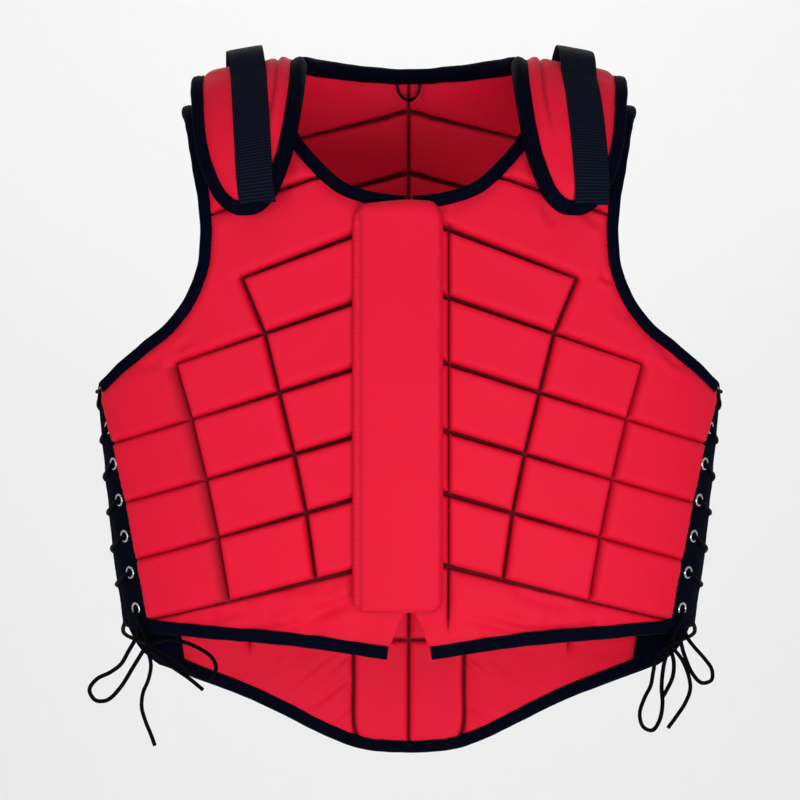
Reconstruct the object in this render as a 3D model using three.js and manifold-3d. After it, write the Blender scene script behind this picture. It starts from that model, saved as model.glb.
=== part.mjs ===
// Equestrian body protector, worn form: padded front and back with bound edges, a flap over the front
// closure, shoulder pads with webbing, and laced sides.
// Millimetres, +Z up, front towards -Y, +X the viewer's right. The origin lies between the shoulders.
import * as THREE from 'three';
import { mergeVertices } from 'three/addons/utils/BufferGeometryUtils.js';
import Module from 'manifold-3d';

const wasm = await Module();
wasm.setup();

// Worn form of the trunk
const frontLength = 436;
const backLength = 526;
const chestHalfWidth = 242;
const frontDepth = 100;
const backDepth = 98;
const sideRoundness = 2.2;
const turnHeight = 110;
const turnArc = 155;
const shoulderRise = -4;
const shoulderSlope = 0.18;
const neckHalfWidth = 95;
const neckRise = 50;
const neckRounding = 18;

// Padding and cloth
const foamOutside = 10;
const foamInside = 6;
const quiltedCore = 2;
const grooveHalfWidth = 4;
const apronOutside = 4.5;
const apronInside = 3.5;
const clearance = 0.5;
const frontOpening = 3;
const sideStep = 4;
const shoulderEase = 4;
const shoulderStep = 2;

// Binding tape folded over each edge
const tapeWidth = 10.5;
const tapeRounding = 2.5;
const tapeGap = 1.5;
const backNeckGap = 1.8;
const hemGap = 0.5;
const tapeOutside = 7;
const tapeInside = 5;

// Closing flap down the front
const plackTop = 106;
const plackBottom = 399;
const plackLeft = -42;
const plackRight = 25;
const plackThickness = 9;
const plackCorner = 12;
const plackRim = 3;
const plackGap = 0.8;
const zipWidth = 18;
const zipThickness = 2;
const zipGap = 1.3;

// Shoulder pads and their webbing
const padLap = 21.5;
const padLength = 149;
const padInnerEdge = 80;
const padOuterEdge = 169;
const padOutside = 9;
const padInside = 6.5;
const padSlope = 9;
const padSteps = 19;
const strapCentre = 125;
const strapWidth = 28;
const strapThickness = 1.8;
const strapFrontReach = 132;
const strapBackReach = 105;
const strapArch = 11;
const strapLean = 9;
const strapBackLean = 0.3;
const strapSteps = 14;

// Laced sides
const flapThickness = 2.4;
const flapTop = 226;
const flapBottom = 417;
const backFlapBottom = 446;
const flapFreeEdge = 12;
const holeRadius = 6.1;
const flapGap = 0.9;
const eyeletTop = 234;
const eyeletPitch = 27.8;
const eyeletCount = 7;
const eyeletShare = 0.3;
const eyeletOuterDiameter = 9.6;
const eyeletInnerDiameter = 6;
const eyeletHeight = 3.6;
const laceDiameter = 3.4;
const laceSides = 6;
const laceLift = 6;
const laceEdgeLift = 7;
const laceOver = 8.5;
const laceUnder = 2.2;
const firstCrossDepth = 13.2;
const turnBelowFlap = 4;
const turnShare = 0.75;
const knotDiameter = 8;
const knotInward = 7.5;
const knotForward = 8;
const knotDrop = 12;

// Hanging loop inside the back of the neck
const hangerWidth = 16;
const hangerShape = 1.4;
const hangerTape = 4;
const hangerThickness = 1.4;
const hangerLean = 2;
const hangerGap = 2.3;

const red = { color: 0xe01a38, roughness: 0.72, metalness: 0 };
const navy = { color: 0x0b1024, roughness: 0.8, metalness: 0 };
const steel = { color: 0xc9ccd2, roughness: 0.25, metalness: 1 };
const black = { color: 0x0c0c10, roughness: 0.85, metalness: 0 };

const front = -1;
const back = 1;
const quarterTurn = Math.PI / 2;
const bowing = 2e-4;

// Level sections of the trunk: share of the back length, then shares of the half width and depths
const trunk = [
  { down: 0.209, width: 1.0, front: 0.96, back: 1.0 },
  { down: 0.432, width: 1.0, front: 1.0, back: 0.98 },
  { down: 0.57, width: 0.975, front: 0.98, back: 0.89 },
  { down: 0.684, width: 0.95, front: 0.945, back: 0.83 },
  { down: 0.76, width: 0.926, front: 0.92, back: 0.83 },
  { down: 0.817, width: 0.909, front: 0.895, back: 0.85 },
  { down: 1.0, width: 0.87, front: 0.8, back: 0.918 },
];

// Quilting rows of one front: share of the front length at the centre, fall for each millimetre
// outwards, the two upright seams and the side edge as shares of the half width, and how many of the
// upright seams the row's groove reaches (3 is the side) and which seams start at this row
const frontRows = [
  { down: 0.117, fall: 0.338, inner: 0.579, outer: 0.826, side: 0.975, reach: 3, seams: 0 },
  { down: 0.234, fall: 0.376, inner: 0.517, outer: 0.773, side: 0.975, reach: 1, seams: 1 },
  { down: 0.353, fall: 0.342, inner: 0.446, outer: 0.719, side: 0.962, reach: 2, seams: 2 },
  { down: 0.47, fall: 0.31, inner: 0.401, outer: 0.669, side: 0.92, reach: 3, seams: 2 },
  { down: 0.587, fall: 0.295, inner: 0.355, outer: 0.624, side: 0.88, reach: 3, seams: 2 },
  { down: 0.695, fall: 0.29, inner: 0.318, outer: 0.587, side: 0.845, reach: 3, seams: 2 },
  { down: 0.821, fall: 0.257, inner: 0.289, outer: 0.554, side: 0.812, reach: 3, seams: 2 },
];
const frontHemRow = { down: 1.03, fall: -0.1, inner: 0.264, outer: 0.529, side: 0.796 };

// Quilting rows of the back, in shares of the back length and the half width
const backRows = [
  { down: 0.015, fall: 0.24, inner: 0.36, outer: 0.62, side: 0.975, reach: 3, seams: 0 },
  { down: 0.108, fall: 0.25, inner: 0.42, outer: 0.7, side: 0.975, reach: 3, seams: 0 },
  { down: 0.203, fall: 0.25, inner: 0.41, outer: 0.74, side: 0.975, reach: 3, seams: 1 },
  { down: 0.3, fall: 0.25, inner: 0.38, outer: 0.71, side: 0.975, reach: 2, seams: 2 },
  { down: 0.397, fall: 0.25, inner: 0.35, outer: 0.68, side: 0.962, reach: 3, seams: 2 },
  { down: 0.494, fall: 0.24, inner: 0.32, outer: 0.65, side: 0.92, reach: 3, seams: 2 },
  { down: 0.591, fall: 0.22, inner: 0.28, outer: 0.61, side: 0.88, reach: 3, seams: 2 },
  { down: 0.688, fall: 0.2, inner: 0.23, outer: 0.56, side: 0.845, reach: 3, seams: 2 },
  { down: 0.825, fall: 0, inner: 0.2, outer: 0.53, side: 0.818, reach: 1, seams: 2 },
];
const backHemRow = { down: 1.04, fall: -0.42, inner: 0.2, outer: 0.5, side: 0.816 };

// Edges seen from the front, as shares of the half width and of the front or back length
const frontArmhole = [
  { across: 0.732, down: 0.012 },
  { across: 0.72, down: 0.055 },
  { across: 0.678, down: 0.151 },
  { across: 0.657, down: 0.213 },
  { across: 0.651, down: 0.268 },
  { across: 0.662, down: 0.323 },
  { across: 0.699, down: 0.374 },
  { across: 0.753, down: 0.415 },
  { across: 0.831, down: 0.45 },
  { across: 0.905, down: 0.484 },
  { across: 0.946, down: 0.506 },
];
const frontNeck = [
  { across: 0.385, down: -0.01 },
  { across: 0.376, down: 0.046 },
  { across: 0.34, down: 0.094 },
  { across: 0.272, down: 0.142 },
  { across: 0.2, down: 0.176 },
  { across: 0.132, down: 0.19 },
  { across: 0.062, down: 0.197 },
  { across: 0.01, down: 0.2 },
];
const frontHem = [
  { across: 0.07, down: 1.0 },
  { across: 0.343, down: 0.979 },
  { across: 0.628, down: 0.967 },
  { across: 0.803, down: 0.961 },
];
const backArmhole = [
  { across: 0.686, down: -0.01 },
  { across: 0.702, down: 0.046 },
  { across: 0.686, down: 0.125 },
  { across: 0.672, down: 0.177 },
  { across: 0.67, down: 0.222 },
  { across: 0.68, down: 0.268 },
  { across: 0.716, down: 0.31 },
  { across: 0.771, down: 0.344 },
  { across: 0.841, down: 0.373 },
  { across: 0.911, down: 0.401 },
  { across: 0.948, down: 0.419 },
];
const backNeck = [
  { across: 0.325, down: -0.055 },
  { across: 0.277, down: -0.046 },
  { across: 0.132, down: -0.047 },
  { across: 0, down: -0.047 },
];
const backHem = [
  { across: 0, down: 1.0 },
  { across: 0.16, down: 0.994 },
  { across: 0.26, down: 0.977 },
  { across: 0.512, down: 0.918 },
  { across: 0.723, down: 0.876 },
  { across: 0.81, down: 0.858 },
];

// Outline of a shoulder pad from the shoulder line to its tip, in shares of its length and width
const padOutline = [
  { along: 0, inner: 0, outer: 1 },
  { along: 0.22, inner: -0.01, outer: 0.99 },
  { along: 0.45, inner: 0.0, outer: 0.96 },
  { along: 0.65, inner: 0.045, outer: 0.92 },
  { along: 0.8, inner: 0.11, outer: 0.85 },
  { along: 0.93, inner: 0.23, outer: 0.73 },
  { along: 0.99, inner: 0.36, outer: 0.6 },
];

function between(rows, key, share, value) {
  const last = rows.length - 1;
  let index = 0;
  while (index < last - 1 && rows[index + 1][key] < share) index += 1;
  const low = rows[index];
  const high = rows[index + 1];
  const step = (share - low[key]) / (high[key] - low[key]);
  return THREE.MathUtils.lerp(low[value], high[value], THREE.MathUtils.clamp(step, 0, 1));
}

function trunkWidth(height) {
  return chestHalfWidth * between(trunk, 'down', -height / backLength, 'width');
}

function trunkDepth(height, face) {
  const share = -height / backLength;
  if (face === front) return frontDepth * between(trunk, 'down', share, 'front');
  return backDepth * between(trunk, 'down', share, 'back');
}

// Height of the shoulder line: it slopes down outwards and climbs beside the neck
function shoulderHeight(x, lap) {
  const away = Math.abs(x);
  const rounded = (distance) => Math.hypot(distance, neckRounding) - neckRounding;
  const climb = Math.max(0, 1 - rounded(away) / rounded(neckHalfWidth));
  return shoulderRise - shoulderSlope * (away - neckHalfWidth) + neckRise * climb ** 2 + lap;
}

// A point of the trunk: run is the height up to where the wall turns over the shoulder, and beyond
// that the distance along the turn
function trunkPoint(x, run, face, lap) {
  const height = Math.min(run, -turnHeight);
  const width = trunkWidth(height);
  const share = Math.min(Math.abs(x) / width, 0.998);
  const bulge = (1 - share ** sideRoundness) ** (1 / sideRoundness);
  const depth = (trunkDepth(height, face) + (face === front ? lap : 0)) * bulge;
  if (run <= -turnHeight) return new THREE.Vector3(x, face * depth, run);
  const angle = Math.min((run + turnHeight) / turnArc, 1) * quarterTurn;
  const rise = shoulderHeight(x, lap) + turnHeight;
  return new THREE.Vector3(x, face * depth * Math.cos(angle), rise * Math.sin(angle) - turnHeight);
}

// The run that reaches a height at a distance from the middle
function runAt(x, height, lap) {
  if (height <= -turnHeight) return height;
  const sine = Math.min((height + turnHeight) / (shoulderHeight(x, lap) + turnHeight), 0.9998);
  return (Math.asin(sine) / quarterTurn) * turnArc - turnHeight;
}

// A surface knows its points, its outward normal and the two directions along it
function makeSurface(point, outward) {
  const reach = 0.5;
  const along = (u, v) => point(u + reach, v).sub(point(u - reach, v)).divideScalar(2 * reach);
  const up = (u, v) => point(u, v + reach).sub(point(u, v - reach)).divideScalar(2 * reach);
  const normal = (u, v) => along(u, v).cross(up(u, v)).multiplyScalar(outward).normalize();
  const at = (u, v, offset) => point(u, v).addScaledVector(normal(u, v), offset);
  return { point, along, up, normal, at };
}

const frontSurface = makeSurface((x, run) => trunkPoint(x, run, front, 0), 1);
const backSurface = makeSurface((x, run) => trunkPoint(x, run, back, padLap), -1);
const shoulderRun = turnArc - turnHeight;

// The pad's surface runs from the front tip up over the shoulder line and down the back
const padSurface = makeSurface((x, run) => {
  const before = run <= shoulderRun;
  return before ? trunkPoint(x, run, front, padLap) : trunkPoint(x, 2 * shoulderRun - run, back, padLap);
}, 1);

function toSolid(geometry) {
  const bare = geometry.clone();
  bare.deleteAttribute('normal');
  bare.deleteAttribute('uv');
  const merged = mergeVertices(bare, 1e-4);
  const vertProperties = new Float32Array(merged.attributes.position.array);
  const triVerts = new Uint32Array(merged.index.array);
  const mesh = new wasm.Mesh({ numProp: 3, vertProperties, triVerts });
  mesh.merge();
  return new wasm.Manifold(mesh);
}

function toGeometry(solid) {
  const mesh = solid.getMesh();
  const geometry = new THREE.BufferGeometry();
  geometry.setAttribute('position', new THREE.BufferAttribute(new Float32Array(mesh.vertProperties), 3));
  geometry.setIndex(new THREE.BufferAttribute(new Uint32Array(mesh.triVerts), 1));
  return geometry;
}

function fromLists(points, triangles) {
  const geometry = new THREE.BufferGeometry();
  geometry.setAttribute('position', new THREE.Float32BufferAttribute(points.flatMap((p) => p.toArray()), 3));
  geometry.setIndex(triangles.flat());
  return facingOut(geometry);
}

function signedVolume(geometry) {
  const at = geometry.attributes.position;
  const index = geometry.index.array;
  const corner = (k) => new THREE.Vector3().fromBufferAttribute(at, index[k]);
  let volume = 0;
  for (let k = 0; k < index.length; k += 3) volume += corner(k).dot(corner(k + 1).cross(corner(k + 2)));
  return volume / 6;
}

function facingOut(geometry) {
  if (signedVolume(geometry) >= 0) return geometry;
  const index = geometry.index.array;
  for (let k = 0; k < index.length; k += 3) [index[k], index[k + 1]] = [index[k + 1], index[k]];
  return geometry;
}

function mirrored(geometry) {
  const copy = geometry.clone();
  copy.scale(-1, 1, 1);
  return facingOut(copy);
}

// Sheets are cut while almost flat. The faint bow keeps every station of a flat stretch in the mesh,
// and it is taken off again when the sheet is laid over the trunk.
function bow(u, v) {
  return bowing * (u * u + v * v);
}

// A closed slab over a grid of stations, each with its two faces' distances from the middle
function slab(rows) {
  const wide = rows[0].length;
  const points = [];
  const push = (s, n) => points.push(new THREE.Vector3(s.u, s.v, n + bow(s.u, s.v)));
  rows.forEach((row) => row.forEach((s) => push(s, s.out)));
  rows.forEach((row) => row.forEach((s) => push(s, -s.in)));
  const under = rows.length * wide;
  const id = (j, i) => j * wide + i;
  const triangles = [];
  const quad = (a, b, c, d) => triangles.push([a, b, c], [a, c, d]);
  for (let j = 0; j < rows.length - 1; j += 1) {
    for (let i = 0; i < wide - 1; i += 1) {
      quad(id(j, i), id(j, i + 1), id(j + 1, i + 1), id(j + 1, i));
      quad(under + id(j, i), under + id(j + 1, i), under + id(j + 1, i + 1), under + id(j, i + 1));
    }
  }
  const rim = [];
  for (let i = 0; i < wide; i += 1) rim.push(id(0, i));
  for (let j = 1; j < rows.length; j += 1) rim.push(id(j, wide - 1));
  for (let i = wide - 2; i >= 0; i -= 1) rim.push(id(rows.length - 1, i));
  for (let j = rows.length - 2; j > 0; j -= 1) rim.push(id(j, 0));
  rim.forEach((a, k) => {
    const b = rim[(k + 1) % rim.length];
    quad(b, a, under + a, under + b);
  });
  return toSolid(fromLists(points, triangles));
}

// Cuts a flat slab to an outline, then lays it over a surface
function laidPanel(rows, outline, surface) {
  const shape = new THREE.Shape(outline);
  const thick = 2 * backLength;
  const cutter = new THREE.ExtrudeGeometry(shape, { depth: thick, bevelEnabled: false });
  cutter.translate(0, 0, -thick / 2);
  const flat = slab(rows).intersect(toSolid(cutter));
  return laid(flat, surface);
}

function laid(flat, surface) {
  const geometry = toGeometry(flat);
  const at = geometry.attributes.position;
  for (let k = 0; k < at.count; k += 1) {
    const [u, v] = [at.getX(k), at.getY(k)];
    const p = surface.at(u, v, at.getZ(k) - bow(u, v));
    at.setXYZ(k, p.x, p.y, p.z);
  }
  return toSolid(facingOut(geometry));
}

// Frames along an edge: where it lies, which way leads into the cloth, and the outward normal
function edgeFrames(points, surface, inwardSide) {
  const places = points.map((p) => surface.point(p.x, p.y));
  return places.map((place, k) => {
    const before = places[Math.max(k - 1, 0)];
    const after = places[Math.min(k + 1, places.length - 1)];
    const tangent = after.clone().sub(before).normalize();
    const normal = surface.normal(points[k].x, points[k].y);
    const across = normal.clone().cross(tangent).multiplyScalar(inwardSide).normalize();
    const outward = tangent.clone().cross(across).multiplyScalar(inwardSide).normalize();
    return { place, across, outward };
  });
}

// The edge moved into the cloth, back in the surface's own two directions
function insetEdge(points, surface, inwardSide, distance) {
  return edgeFrames(points, surface, inwardSide).map((frame, k) => {
    const { x, y } = points[k];
    const along = surface.along(x, y);
    const up = surface.up(x, y);
    const [a, b, c] = [along.dot(along), along.dot(up), up.dot(up)];
    const [p, q] = [frame.across.dot(along) * distance, frame.across.dot(up) * distance];
    const scale = a * c - b * b;
    return new THREE.Vector2(x + (p * c - q * b) / scale, y + (q * a - p * b) / scale);
  });
}

// A section carried along frames and closed at both ends
function swept(frames, section) {
  const points = frames.flatMap(({ place, across, outward }) => section.map(([s, n]) => {
    return place.clone().addScaledVector(across, s).addScaledVector(outward, n);
  }));
  const sides = section.length;
  const triangles = [];
  for (let k = 0; k < frames.length - 1; k += 1) {
    for (let i = 0; i < sides; i += 1) {
      const j = (i + 1) % sides;
      const [a, b, c, d] = [k * sides + i, k * sides + j, (k + 1) * sides + j, (k + 1) * sides + i];
      triangles.push([a, b, c], [a, c, d]);
    }
  }
  const last = (frames.length - 1) * sides;
  for (let i = 1; i < sides - 1; i += 1) triangles.push([0, i + 1, i], [last, last + i, last + i + 1]);
  return fromLists(points, triangles);
}

// The folded tape with the edge of the wadding inside it, seen along the edge
const tapeSection = [
  [tapeWidth, tapeOutside],
  [tapeRounding, tapeOutside],
  [0, (tapeOutside - tapeInside) / 2],
  [tapeRounding, -tapeInside],
  [tapeWidth, -tapeInside],
];

function smoothEdge(points, steps) {
  return new THREE.SplineCurve(points).getSpacedPoints(steps);
}

function edgeFromTable(table, length, lap) {
  return table.map(({ across, down }) => {
    const x = across * chestHalfWidth;
    return new THREE.Vector2(x, runAt(x, -down * length, lap));
  });
}

// Stations of one quilted half: the row lines, each as groove middle and two shoulders
function quiltRows(rows, hemRow, length, lap, centre) {
  const lines = [];
  const first = rows[0];
  const stations = (row, shift, kind, index) => {
    const [c1, c2, side] = [row.inner, row.outer, row.side].map((s) => s * chestHalfWidth);
    const g = grooveHalfWidth;
    const xs = [...centre, c1 - g, c1, c1 + g, c2 - g, c2, c2 + g, side + 2];
    const seam = [0, centre.length + 1, centre.length + 4, xs.length - 1];
    return xs.map((x, i) => {
      const run = runAt(x, -row.down * length - row.fall * x + shift, lap);
      const rowGroove = kind === 'groove' && i <= seam[row.reach];
      const seamGroove = (i === seam[1] && index.seams >= 1) || (i === seam[2] && index.seams >= 2);
      return { u: x, v: run, groove: x === 0 || rowGroove || seamGroove, apron: index.apron };
    });
  };
  const top = shoulderRun - 1;
  [1, 0.5].forEach((share) => {
    const line = stations(first, grooveHalfWidth, 'crest', { seams: 0 });
    lines.push(line.map((s) => ({ ...s, v: THREE.MathUtils.lerp(s.v, top, share) })));
  });
  rows.forEach((row, k) => {
    const above = k > 0 ? rows[k - 1].seams : 0;
    const last = k === rows.length - 1;
    lines.push(stations(row, grooveHalfWidth, 'crest', { seams: Math.min(above, row.seams) }));
    lines.push(stations(row, 0, 'groove', { seams: row.seams }));
    lines.push(stations(row, -grooveHalfWidth, 'crest', { seams: last ? 0 : row.seams, apron: last }));
  });
  lines.push(stations(hemRow, 0, 'crest', { seams: 0, apron: true }));
  return lines;
}

function withThickness(station) {
  if (station.groove) return { ...station, out: quiltedCore, in: quiltedCore };
  if (station.apron) return { ...station, out: apronOutside, in: apronInside };
  return { ...station, out: foamOutside, in: foamInside };
}

const sideTable = frontRows.slice(2);

function sideEdgeX(height) {
  const drop = (row) => row.down * frontLength + row.fall * row.side * chestHalfWidth;
  const rows = sideTable.map((row) => ({ depth: drop(row), side: row.side }));
  return chestHalfWidth * between(rows, 'depth', -height, 'side');
}

// One front half, on the viewer's right
const armholeSteps = 13;
const neckSteps = 10;
const hemSteps = 5;
const frontArmholeEdge = smoothEdge(edgeFromTable(frontArmhole, frontLength, 0), armholeSteps);
const frontNeckEdge = smoothEdge(edgeFromTable(frontNeck, frontLength, 0), neckSteps);
const frontHemEdge = smoothEdge(edgeFromTable(frontHem, frontLength, 0), hemSteps);

// Heights where the side edge or the trunk bends, between two limits
function sideStations(top, bottom) {
  const bends = sideTable.map((row) => -row.down * frontLength - row.fall * row.side * chestHalfWidth);
  const sections = trunk.map((row) => -row.down * backLength);
  const inner = [...bends, ...sections].filter((height) => height < top - 4 && height > bottom + 4);
  return [top, ...inner.sort((p, q) => q - p), bottom];
}

function sidePoints(top, bottom) {
  return sideStations(top, bottom).map((height) => new THREE.Vector2(sideEdgeX(height), height));
}

function frontHalf() {
  const inset = tapeWidth + tapeGap;
  const armhole = insetEdge(frontArmholeEdge, frontSurface, -1, inset);
  const neck = insetEdge(frontNeckEdge, frontSurface, 1, inset);
  const hem = insetEdge(frontHemEdge, frontSurface, 1, tapeWidth + hemGap);
  const half = frontOpening / 2;
  const side = sidePoints(armhole.at(-1).y - sideStep, hem.at(-1).y + sideStep);
  const outline = [
    ...armhole,
    ...side,
    ...hem.reverse(),
    new THREE.Vector2(half, -plackBottom + 4),
    new THREE.Vector2(half, neck.at(-1).y),
    ...neck.reverse(),
  ];
  outline[0].y = shoulderRun - 2;
  outline.at(-1).y = shoulderRun - 2;
  const rows = quiltRows(frontRows, frontHemRow, frontLength, 0, [half / 2]);
  return laidPanel(rows.map((row) => row.map(withThickness)), outline, frontSurface);
}

// The whole back, with the spine seam in the middle
const backArmholeEdge = smoothEdge(edgeFromTable(backArmhole, backLength, padLap), armholeSteps);
const backNeckHalf = edgeFromTable(backNeck, backLength, padLap);
const backHemHalf = edgeFromTable(backHem, backLength, padLap);
const acrossMiddle = (half) => [...half.slice(1).reverse().map((p) => new THREE.Vector2(-p.x, p.y)), ...half];
const backNeckEdge = smoothEdge(acrossMiddle([...backNeckHalf].reverse()), 2 * neckSteps);
const backHemEdge = smoothEdge(acrossMiddle(backHemHalf), 3 * hemSteps);

function mirrorLine(line) {
  return [...line.slice(1).reverse().map((s) => ({ ...s, u: -s.u })), ...line];
}

function mirrorOutline(half) {
  return [...half, ...half.map((p) => new THREE.Vector2(-p.x, p.y)).reverse()];
}

function backPanel() {
  const inset = tapeWidth + tapeGap;
  const armhole = insetEdge(backArmholeEdge, backSurface, 1, inset);
  const neck = insetEdge(backNeckEdge, backSurface, 1, tapeWidth + backNeckGap).filter((p) => p.x > -1);
  const hem = insetEdge(backHemEdge, backSurface, -1, tapeWidth + hemGap).filter((p) => p.x > -1);
  const side = sidePoints(armhole.at(-1).y - sideStep, hem.at(-1).y + sideStep);
  [neck, hem].forEach((edge) => edge.forEach((p) => p.setX(Math.max(p.x, clearance / 10))));
  const half = [...neck, ...armhole, ...side, ...hem.reverse()];
  half[neck.length - 1].set(neck.at(-1).x + shoulderEase, shoulderRun - shoulderStep);
  half[neck.length].set(armhole[0].x - shoulderEase, shoulderRun - shoulderStep);
  const rows = quiltRows(backRows, backHemRow, backLength, padLap, [0, grooveHalfWidth]);
  const lines = rows.map((row) => mirrorLine(row.map(withThickness)));
  return laidPanel(lines, mirrorOutline(half), backSurface);
}

// The padded flap that covers the front closure, sewn to one front and closed over the other
function placket() {
  const [left, right, top, bottom] = [plackLeft, plackRight, -plackTop, -plackBottom];
  const shape = new THREE.Shape();
  const r = plackCorner;
  shape.moveTo(left + r, bottom);
  shape.lineTo(right - r, bottom);
  shape.quadraticCurveTo(right, bottom, right, bottom + r);
  shape.lineTo(right, top - r);
  shape.quadraticCurveTo(right, top, right - r, top);
  shape.lineTo(left + r, top);
  shape.quadraticCurveTo(left, top, left, top - r);
  shape.lineTo(left, bottom + r);
  shape.quadraticCurveTo(left, bottom, left + r, bottom);
  const lowest = foamOutside + plackGap;
  const columns = [left - 1, left + r, (left + right) / 2, right - r, right + 1];
  const heights = [bottom - 1, ...sideStations(top - r, bottom + r).reverse(), top + 1];
  const rows = heights.map((v, j) => columns.map((u, i) => {
    const rim = i === 0 || i === 4 || j === 0 || j === heights.length - 1;
    return { u, v, out: lowest + (rim ? plackRim : plackThickness), in: -lowest };
  }));
  return laidPanel(rows, shape.getPoints(3), frontSurface);
}

// The closure strip behind the two front edges
function zip() {
  const highest = foamInside + zipGap;
  const heights = sideStations(-plackTop - tapeWidth, -plackBottom + tapeWidth).reverse();
  const faces = { out: -highest, in: highest + zipThickness };
  const rows = heights.map((v) => [-zipWidth / 2, zipWidth / 2].map((u) => ({ u, v, ...faces })));
  return laid(slab(rows), frontSurface);
}

// Shoulder pad, from the shoulder line down to its rounded tip on the chest
function padEdge() {
  const wide = padOuterEdge - padInnerEdge;
  const at = (share, along) => new THREE.Vector2(padInnerEdge + share * wide, shoulderRun - along * padLength);
  const inner = padOutline.map((row) => at(row.inner, row.along));
  const outer = padOutline.map((row) => at(row.outer, row.along));
  const tip = at((padOutline.at(-1).inner + padOutline.at(-1).outer) / 2, 1);
  return smoothEdge([...inner, tip, ...outer.reverse()], padSteps);
}

function shoulderPad() {
  const outline = insetEdge(padEdge(), padSurface, 1, tapeWidth + tapeGap);
  const rows = [0, 0.13, 0.26, 0.4, 0.54, 0.68, 0.8, 0.92, 1.05].map((along, j, all) => {
    const v = shoulderRun - along * padLength - (j === 0 ? 1 : 0);
    const low = tapeWidth - 1;
    const high = tapeWidth + padSlope;
    const near = j === all.length - 1;
    const xs = [padInnerEdge + low, padInnerEdge + high, strapCentre, padOuterEdge - high, padOuterEdge - low];
    return xs.map((u, i) => {
      const rim = near || i === 0 || i === 4;
      return { u, v, out: rim ? tapeOutside : padOutside, in: rim ? tapeInside : padInside };
    });
  });
  return laidPanel(rows.reverse(), outline, padSurface);
}

// Webbing sewn to the pad's tip, standing proud over the shoulder and sewn down on the back
function webbing(lean) {
  const start = shoulderRun - strapFrontReach;
  const end = shoulderRun + strapBackReach;
  const points = [];
  for (let k = 0; k <= strapSteps; k += 1) {
    const run = THREE.MathUtils.lerp(start, end, k / strapSteps);
    const down = THREE.MathUtils.clamp((shoulderRun - run) / strapFrontReach, -strapBackLean, 1);
    points.push(new THREE.Vector2(strapCentre + lean * down, run));
  }
  const frames = edgeFrames(points, padSurface, 1);
  frames.forEach((frame, k) => {
    const fromShoulder = points[k].y - shoulderRun;
    const arch = strapArch * Math.max(0, 1 - (fromShoulder / padLap / 2) ** 2);
    const base = (fromShoulder < 0 ? padOutside : foamOutside) + clearance + arch;
    frame.place.addScaledVector(frame.outward, base);
  });
  const half = strapWidth / 2;
  return swept(frames, [[half, 0], [half, strapThickness], [-half, strapThickness], [-half, 0]]);
}

// A lacing flap lies between the panel's side edge and the middle of the side
function flapAngle(x, y, width, depth) {
  return Math.asin(Math.min((Math.abs(y) / depth) ** (sideRoundness / 2), 1));
}

function flapPoint(share, height, face) {
  const width = trunkWidth(height);
  const depth = trunkDepth(height, face);
  const seamX = sideEdgeX(height) + flapGap;
  const seamY = trunkPoint(seamX, height, face, 0).y;
  const seam = flapAngle(seamX, seamY, width, depth);
  const edge = flapAngle(width, flapFreeEdge, width, depth);
  const angle = THREE.MathUtils.lerp(seam, edge, share);
  const x = width * Math.cos(angle) ** (2 / sideRoundness);
  return new THREE.Vector3(x, face * depth * Math.sin(angle) ** (2 / sideRoundness), height);
}

function flapWidth(height, face) {
  const middle = flapPoint(0.5, height, face);
  const toSeam = middle.distanceTo(flapPoint(0, height, face));
  return toSeam + middle.distanceTo(flapPoint(1, height, face));
}

function flapSurface(face) {
  const point = (u, v) => flapPoint(u / flapWidth(v, face), v, face);
  return makeSurface(point, face === front ? 1 : -1);
}

const eyeletHeights = [];
for (let k = 0; k < eyeletCount; k += 1) eyeletHeights.push(-eyeletTop - k * eyeletPitch);

// A sheet with a hole for each eyelet, between the panel's side edge and the middle of the side
function flap(face, bottom) {
  const half = flapThickness / 2;
  const heights = [...eyeletHeights.map((height) => height - eyeletPitch / 2)];
  const stations = [-flapTop, ...heights.slice(0, -1), ...sideStations(heights.at(-1), -bottom)];
  const rows = stations.reverse().map((v) => [0, 0.5, 1].map((share) => {
    return { u: share * flapWidth(v, face), v, out: half, in: half };
  }));
  const holes = eyeletHeights.map((height) => {
    const u = eyeletShare * flapWidth(height, face);
    const hole = new THREE.CylinderGeometry(holeRadius, holeRadius, 4 * flapThickness, 8);
    hole.rotateX(quarterTurn);
    hole.translate(u, height, bow(u, height));
    return toSolid(hole);
  });
  const cut = holes.reduce((sheet, hole) => sheet.subtract(hole), slab(rows));
  return laid(cut, flapSurface(face));
}

function eyelet(face, height) {
  const outer = eyeletOuterDiameter / 2;
  const inner = eyeletInnerDiameter / 2;
  const half = eyeletHeight / 2;
  const profile = [[inner, -half], [outer, -half], [outer, half], [inner, half], [inner, -half]];
  const ring = new THREE.LatheGeometry(profile.map(([r, y]) => new THREE.Vector2(r, y)), 8);
  const surface = flapSurface(face);
  const u = eyeletShare * flapWidth(height, face);
  const up = new THREE.Vector3(0, 1, 0);
  ring.applyQuaternion(new THREE.Quaternion().setFromUnitVectors(up, surface.normal(u, height)));
  ring.translate(...surface.point(u, height).toArray());
  return toGeometry(toSolid(ring));
}

// A route whose stations are the tube's own sections
class Route extends THREE.Curve {
  constructor(points) {
    super();
    this.points = points;
  }

  getPointAt(share) {
    return this.points[Math.round(share * (this.points.length - 1))].clone();
  }

  getTangentAt(share) {
    const k = Math.round(share * (this.points.length - 1));
    const before = this.points[Math.max(k - 1, 0)];
    const after = this.points[Math.min(k + 1, this.points.length - 1)];
    const into = this.points[k].clone().sub(before).normalize();
    const out = after.clone().sub(this.points[k]).normalize();
    return into.add(out).normalize();
  }
}

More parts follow.
